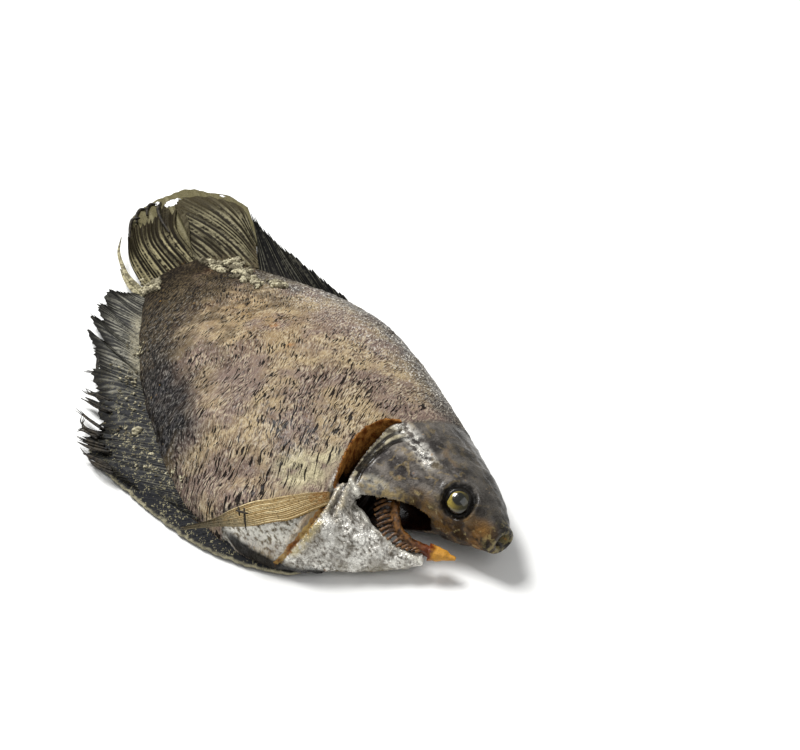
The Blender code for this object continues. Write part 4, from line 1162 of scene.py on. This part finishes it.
# %% beds of the crumbs
CRUMB_BEDS = [((154.5, -16.0, 6.4), (5.5, 2.6), 12), ((150.4, 5.2, 9.4), (4.2, 2.8), 15),
              ((143.4, 4.2, 10.4), (2.0, 1.4), 6), ((148.4, 12.0, 9.0), (4.6, 2.4), 10),
              ((139.6, 9.2, 10.8), (5.6, 2.4), 16), ((130.4, 7.2, 13.0), (4.0, 2.0), 12),
              ((124.0, 6.2, 14.6), (2.4, 1.6), 6), ((120.8, 11.4, 14.4), (6.0, 1.4), 9),
              ((95.6, -49.4, 4.8), (1.0, 0.6), 1), ((84.4, -50.2, 4.8), (1.6, 0.8), 1)]
FINE_BEDS = [((119, -41.5, 5.0), (7, 2.6), 34), ((106, -46.0, 4.8), (8, 3.0), 40),
             ((94, -52, 4.6), (8, 3.4), 50), ((84, -53, 4.6), (9, 3.0), 50), ((72, -52, 4.8), (8, 2.4), 30),
             ((128, -34, 5.2), (6, 1.8), 22)]
CHAIN, SHRINK = 3, 0.24  # balls in a crumb, and how much smaller each is than the first
SUNK = 1.2  # how far below its bed's own height a crumb may lie


def flank_height(s, v):
    """Height of the upper side of the trunk at s and v."""
    outer, inner, crest = curve(BELLY, s), curve(BACK, s), curve(CREST, s)
    across = (v - crest) / (inner - crest) if v > crest else (v - crest) / (crest - outer)
    share = np.clip((v - outer) / (inner - outer), 0, 1)
    edge = curve(BELLY_EDGE, s) + (curve(BACK_EDGE, s) - curve(BELLY_EDGE, s)) * share
    lift = np.clip(1 - across ** 2, 0, 1) ** ((1 + DOME_GAIN * filled_out(s)) / 2)
    return edge + (curve(TOP, s) - edge) * lift


print("a crumb at the tail's root lies", flank_height(150, 5).round(1), "mm up")


# %% crumbs
def unit_ball(make, **sizes):
    """Points and faces of a ball of radius 1."""
    ball = bmesh.new()
    make(ball, radius=1, **sizes)
    ball.verts.index_update()
    points = np.array([vert.co for vert in ball.verts])
    faces = [[vert.index for vert in face.verts] for face in ball.faces]
    ball.free()
    return points, faces


def crumb_parts(beds, radii, more=1.0, fineness=3):
    """Lumpy crumbs in short crooked chains, half sunk in the skin and the fin roots."""
    draw = random.Random(11)
    shape, faces = unit_ball(bmesh.ops.create_icosphere, subdivisions=fineness)
    parts = []
    for (s, v, z), (reach_s, reach_v), number in beds:
        for _ in range(int(number * more)):
            spot = np.array([s + draw.gauss(0, 0.5) * reach_s, v + draw.gauss(0, 0.5) * reach_v])
            radius = draw.uniform(*radii)
            step = Vector((draw.uniform(-1, 1), draw.uniform(-1, 1))).normalized() * radius * 0.9
            shade = np.full(len(shape), draw.random())
            for link in range(CHAIN):
                lumps = 1 + 0.55 * rough(shape, 0.6, draw.uniform(0, 90))
                stretch = np.array([draw.uniform(0.7, 1.3) for _ in range(3)])
                bed = max(flank_height(*spot), z - SUNK) + 0.4 * radius
                points = shape * lumps[:, None] * stretch * (radius * (1 - SHRINK * link)) + (*spot, bed)
                parts.append({"points": points, "faces": faces, "paint": {"shade": shade}})
                spot = spot + step
                step = step + Vector((draw.uniform(-0.4, 0.4), draw.uniform(-0.4, 0.4))) * radius
    return parts


def crumb_look(sheet):
    """Cream to grey-brown crumbs with a dry surface."""
    small = sheet.lumps(0.6, 2, seed=4)
    colour = sheet.paint("shade").fade(0.1, 0.9).blend((98, 91, 74), (198, 190, 160)).layers(
        (small.fade(0.46, 0.66) * 0.6, (78, 71, 56)))
    return {"Base Color": colour, "Roughness": small * 0.2 + 0.6, "Normal": bumps(small, 0.2)}


crumb_finish = new_material("dried crumbs", crumb_look)
dress(make_object("crumbs", *crumb_parts(CRUMB_BEDS, (0.45, 1.1), 1.8)), crumb_finish)
dress(make_object("fine_crumbs", *crumb_parts(FINE_BEDS, (0.1, 0.36), fineness=2)), crumb_finish)

# %% [markdown]
# ## The eyes
# The eye has sunk and flattened, but it is still glossy: a dark pupil in an olive iris under a clear
# coat. It stands in for the plain lens of the frame, so it keeps that lens's middle, size and tilt. The
# iris is painted by how far each point lies from the axis, as a share of the radius, with painted light on
# its lower left side and painted shade at its edge.

# %% the eyes
EYE_RADIUS, EYE_DEPTH = 3.2, 2.1
EYE_TILT = math.radians(27)
# painted light: the iris is painted brightest towards this side
LOWER_LEFT = np.array([-0.85, -0.5, 0]) / math.hypot(0.85, 0.5)  # where the iris is brightest


def eye_part(centre, side):
    """A lens at an eye's place, turned to look out, with the distance from its axis painted on."""
    tipped = math.sin(EYE_TILT) / math.sqrt(2)
    facing = Vector((tipped, -tipped, side * math.sqrt(1 - 2 * tipped ** 2)))
    turn = np.array(facing.to_track_quat("Z", "Y").to_matrix()).T
    ball, faces = unit_ball(bmesh.ops.create_uvsphere, u_segments=72, v_segments=48)
    points = ball * (EYE_RADIUS, EYE_RADIUS, EYE_DEPTH) @ turn * (-1, 1, 1) + centre
    return {"points": points, "faces": faces,
            "paint": {"ring": np.hypot(*ball.T[:2]), "lit_side": ball * (1, 1, 0) @ turn @ LOWER_LEFT}}


def eye_look(sheet):
    """A dark pupil, an olive iris with painted light on one side and painted shade at its edge, and a
    clear wet coat.
    """
    small, tiny = sheet.lumps(1.2, 3, seed=2), sheet.lumps(0.4, 2, seed=7)
    ring = sheet.paint("ring") + (small - 0.5) * 0.12
    # painted light: the iris is lighter on its lower left side
    iris = sheet.paint("lit_side").fade(-0.5, 0.9).blend((52, 48, 26), (158, 140, 62)).layers(
        (tiny.fade(0.45, 0.7) * 0.4, (60, 58, 36)))
    # painted shade: the lens turns near-black at its edge, where it sinks into the socket
    colour = ring.fade(0.42, 0.6).blend((28, 30, 26), iris).layers((ring.fade(0.84, 0.95), (20, 17, 13)))
    return {"Base Color": colour, "Roughness": 0.25, "Coat Weight": 1.0, "Coat Roughness": 0.04,
            "Normal": bumps(small, 0.12)}


eye_finish = new_material("dried eye", eye_look)
for name, side, centre in (("eye_right", 1, EYE_RIGHT), ("eye_left", -1, EYE_LEFT)):
    dress(make_object(f"{name}_lens", eye_part(centre, side)), eye_finish, "dried_eye", name)

# %% [markdown]
# ## The gill arch
# Under the gill cover the arch carries a comb of fine rakers, and at its front the tongue bone is torn
# out to a pale point. Real rakers are thin and slightly bowed, so each is its own tapering tube.

# %% the gill arch
ARCH = [(25.0, -13.5, 14.2), (22.6, -16.2, 13.0), (20.0, -18.2, 11.4), (17.2, -19.0, 9.8),
        (14.2, -18.2, 8.2), (11.6, -16.6, 7.2), (9.6, -15.4, 6.6)]
RAKER_ENDS = [(27.2, -18.2, 13.4), (24.4, -21.0, 12.4), (21.4, -22.6, 11.2), (18.2, -23.0, 9.8),
              (15.0, -21.8, 8.4), (12.8, -19.8, 7.6), (10.8, -18.0, 7.2)]
RAKERS = 15
RAKER_RADII = [0.6, 0.44, 0.4, 0.34]
RAKER_BOW = np.array([0.3, 0.2, 0.6])
ARCH_RADII = [1.0, 1.25, 1.15, 1.25, 1.15]
TONGUE = [(10.2, -15.6, 6.6), (8.4, -14.2, 6.4), (6.6, -12.8, 6.2), (4.9, -11.7, 6.0)]
TONGUE_RADII = [2.3, 1.9, 1.1, 0.45]


def lumpy(part, amount, size, seed):
    """Push the points of a part about by noise, in millimetres."""
    push = np.stack([rough(part["points"], size, seed + axis * 17) for axis in range(3)], -1)
    part["points"] = part["points"] + push * amount
    return part


def gill_parts():
    """The arch, its rakers and the tongue bone. along is 0 to 1 on the arch, and 1 to 2 on the bone."""
    draw = random.Random(17)
    parts = [lumpy(tube(ARCH, ARCH_RADII, 24, 70), 0.35, 1.6, 3)]
    for i in range(RAKERS):
        u = 0.04 + 0.90 * i / (RAKERS - 1)
        root, end = route(ARCH, u), route(RAKER_ENDS, u)
        end = root + (end - root) * draw.uniform(0.95, 1.05)
        middle = (root + end) / 2 + RAKER_BOW * draw.uniform(0.4, 1)
        raker = tube([root, middle, end], RAKER_RADII, samples=14)
        raker["paint"]["along"] *= 0.5
        parts.append(lumpy(raker, 0.12, 0.8, 5))
    tongue = lumpy(tube(TONGUE, TONGUE_RADII, 28, 40, flat=0.75), 0.4, 1.5, 8)
    tongue["paint"]["along"] += 1
    return parts + [tongue]


def gill_look(sheet):
    """Orange-brown dried flesh that turns red-brown forwards, with a pale orange tongue bone."""
    small, tiny = sheet.lumps(1.1, 3, seed=9), sheet.lumps(0.35, 2, seed=4)
    along = sheet.paint("along") + (small - 0.5) * 0.3
    colour = small.fade(0.35, 0.65).blend((48, 32, 18), (118, 82, 44)).layers(
        (along.fade(0.6, 1.0) * 0.7, (110, 46, 18)),
        (along.fade(1.02, 1.3), (192, 138, 56)),
        (tiny.fade(0.5, 0.7) * 0.3, (70, 32, 14)))
    return {"Base Color": colour, "Roughness": small * 0.3 + 0.28, "Coat Weight": 0.35,
            "Coat Roughness": 0.25, "Normal": bumps(tiny * 0.5 + small * 0.5, 0.3)}


gill_finish = new_material("dried gill", gill_look)
dress(make_object("gill_comb", *gill_parts()), gill_finish, "dried_gill", "gill_arch")

# %% [markdown]
# ## Floor, light and camera
# The fish lies on a pale floor under soft white light. The main softbox stands behind it to the left, so
# the shadow falls towards the lower right, and the camera looks down at it past the snout.

# %% floor
FLOOR_HALF, FLOOR_DROP = 3.0, 0.00005  # metres
floor_mesh = bpy.data.meshes.new("floor")
corners = [(x * FLOOR_HALF, y * FLOOR_HALF, 0) for x, y in ((-1, -1), (1, -1), (1, 1), (-1, 1))]
floor_mesh.from_pydata(corners, [], [(0, 1, 2, 3)])
floor = add("floor", floor_mesh)
floor.location.z = -FLOOR_DROP
floor_mesh.materials.append(new_material("pale floor", lambda sheet: {
    "Base Color": linear((240, 240, 238)), "Roughness": 0.9}))
print("the floor is", 2 * FLOOR_HALF, "m wide")

# %% camera and light
LOOK_DOWN = math.radians(37)
FOCAL_PIXELS, IMAGE_WIDTH, SENSOR = 1100, 800, 36
CAMERA_SPOT = (-131.7, -130.0, 196.07)  # in fish millimetres
RIGHT = Vector((0.598, 0.801, 0)).normalized()
AWAY = Vector((-0.801, 0.598, 0)).normalized()
FORWARD = AWAY * math.cos(LOOK_DOWN) - Vector((0, 0, 1)) * math.sin(LOOK_DOWN)
SKY_STRENGTH = 0.31


def aim(thing, spot, forward):
    """Put a camera or a light at a spot so that it looks forward."""
    thing.location = spot
    thing.rotation_euler = forward.to_track_quat("-Z", "Y").to_euler()


def softbox(name, right, away, up, size, watts):
    """A square area light at a place given as the camera sees it, turned to the fish."""
    light = bpy.data.lights.new(name, "AREA")
    light.size = size
    light.energy = watts
    spot = RIGHT * right + AWAY * away + Vector((0, 0, up))
    aim(add(name, light), spot, -spot)


lens = bpy.data.cameras.new("view")
lens.sensor_width = SENSOR
lens.lens = FOCAL_PIXELS / IMAGE_WIDTH * SENSOR
lens.clip_start = 0.01
camera = add("view", lens)
aim(camera, place(CAMERA_SPOT), FORWARD)
bpy.context.scene.camera = camera
softbox("key", -0.4, 0.4, 0.95, 0.42, 16.2)
softbox("fill", 0.6, -0.5, 0.9, 0.9, 3)
sky = bpy.data.worlds.new("studio")
sky.use_nodes = True
Socket(sky.node_tree).plug(sky.node_tree.nodes["Background"],
                           {"Color": (1, 1, 1, 1), "Strength": SKY_STRENGTH})
bpy.context.scene.world = sky
bpy.context.scene.view_settings.view_transform = "Standard"
print("the lens is", round(lens.lens, 1), "mm, and the camera stands at", np.round(camera.location, 3))

# %% [markdown]
# ## The last step
# The dressed fish has to keep the size of the solids. Last, the view layer is brought up to date.

# %% bring the scene up to date
bpy.context.view_layer.update()
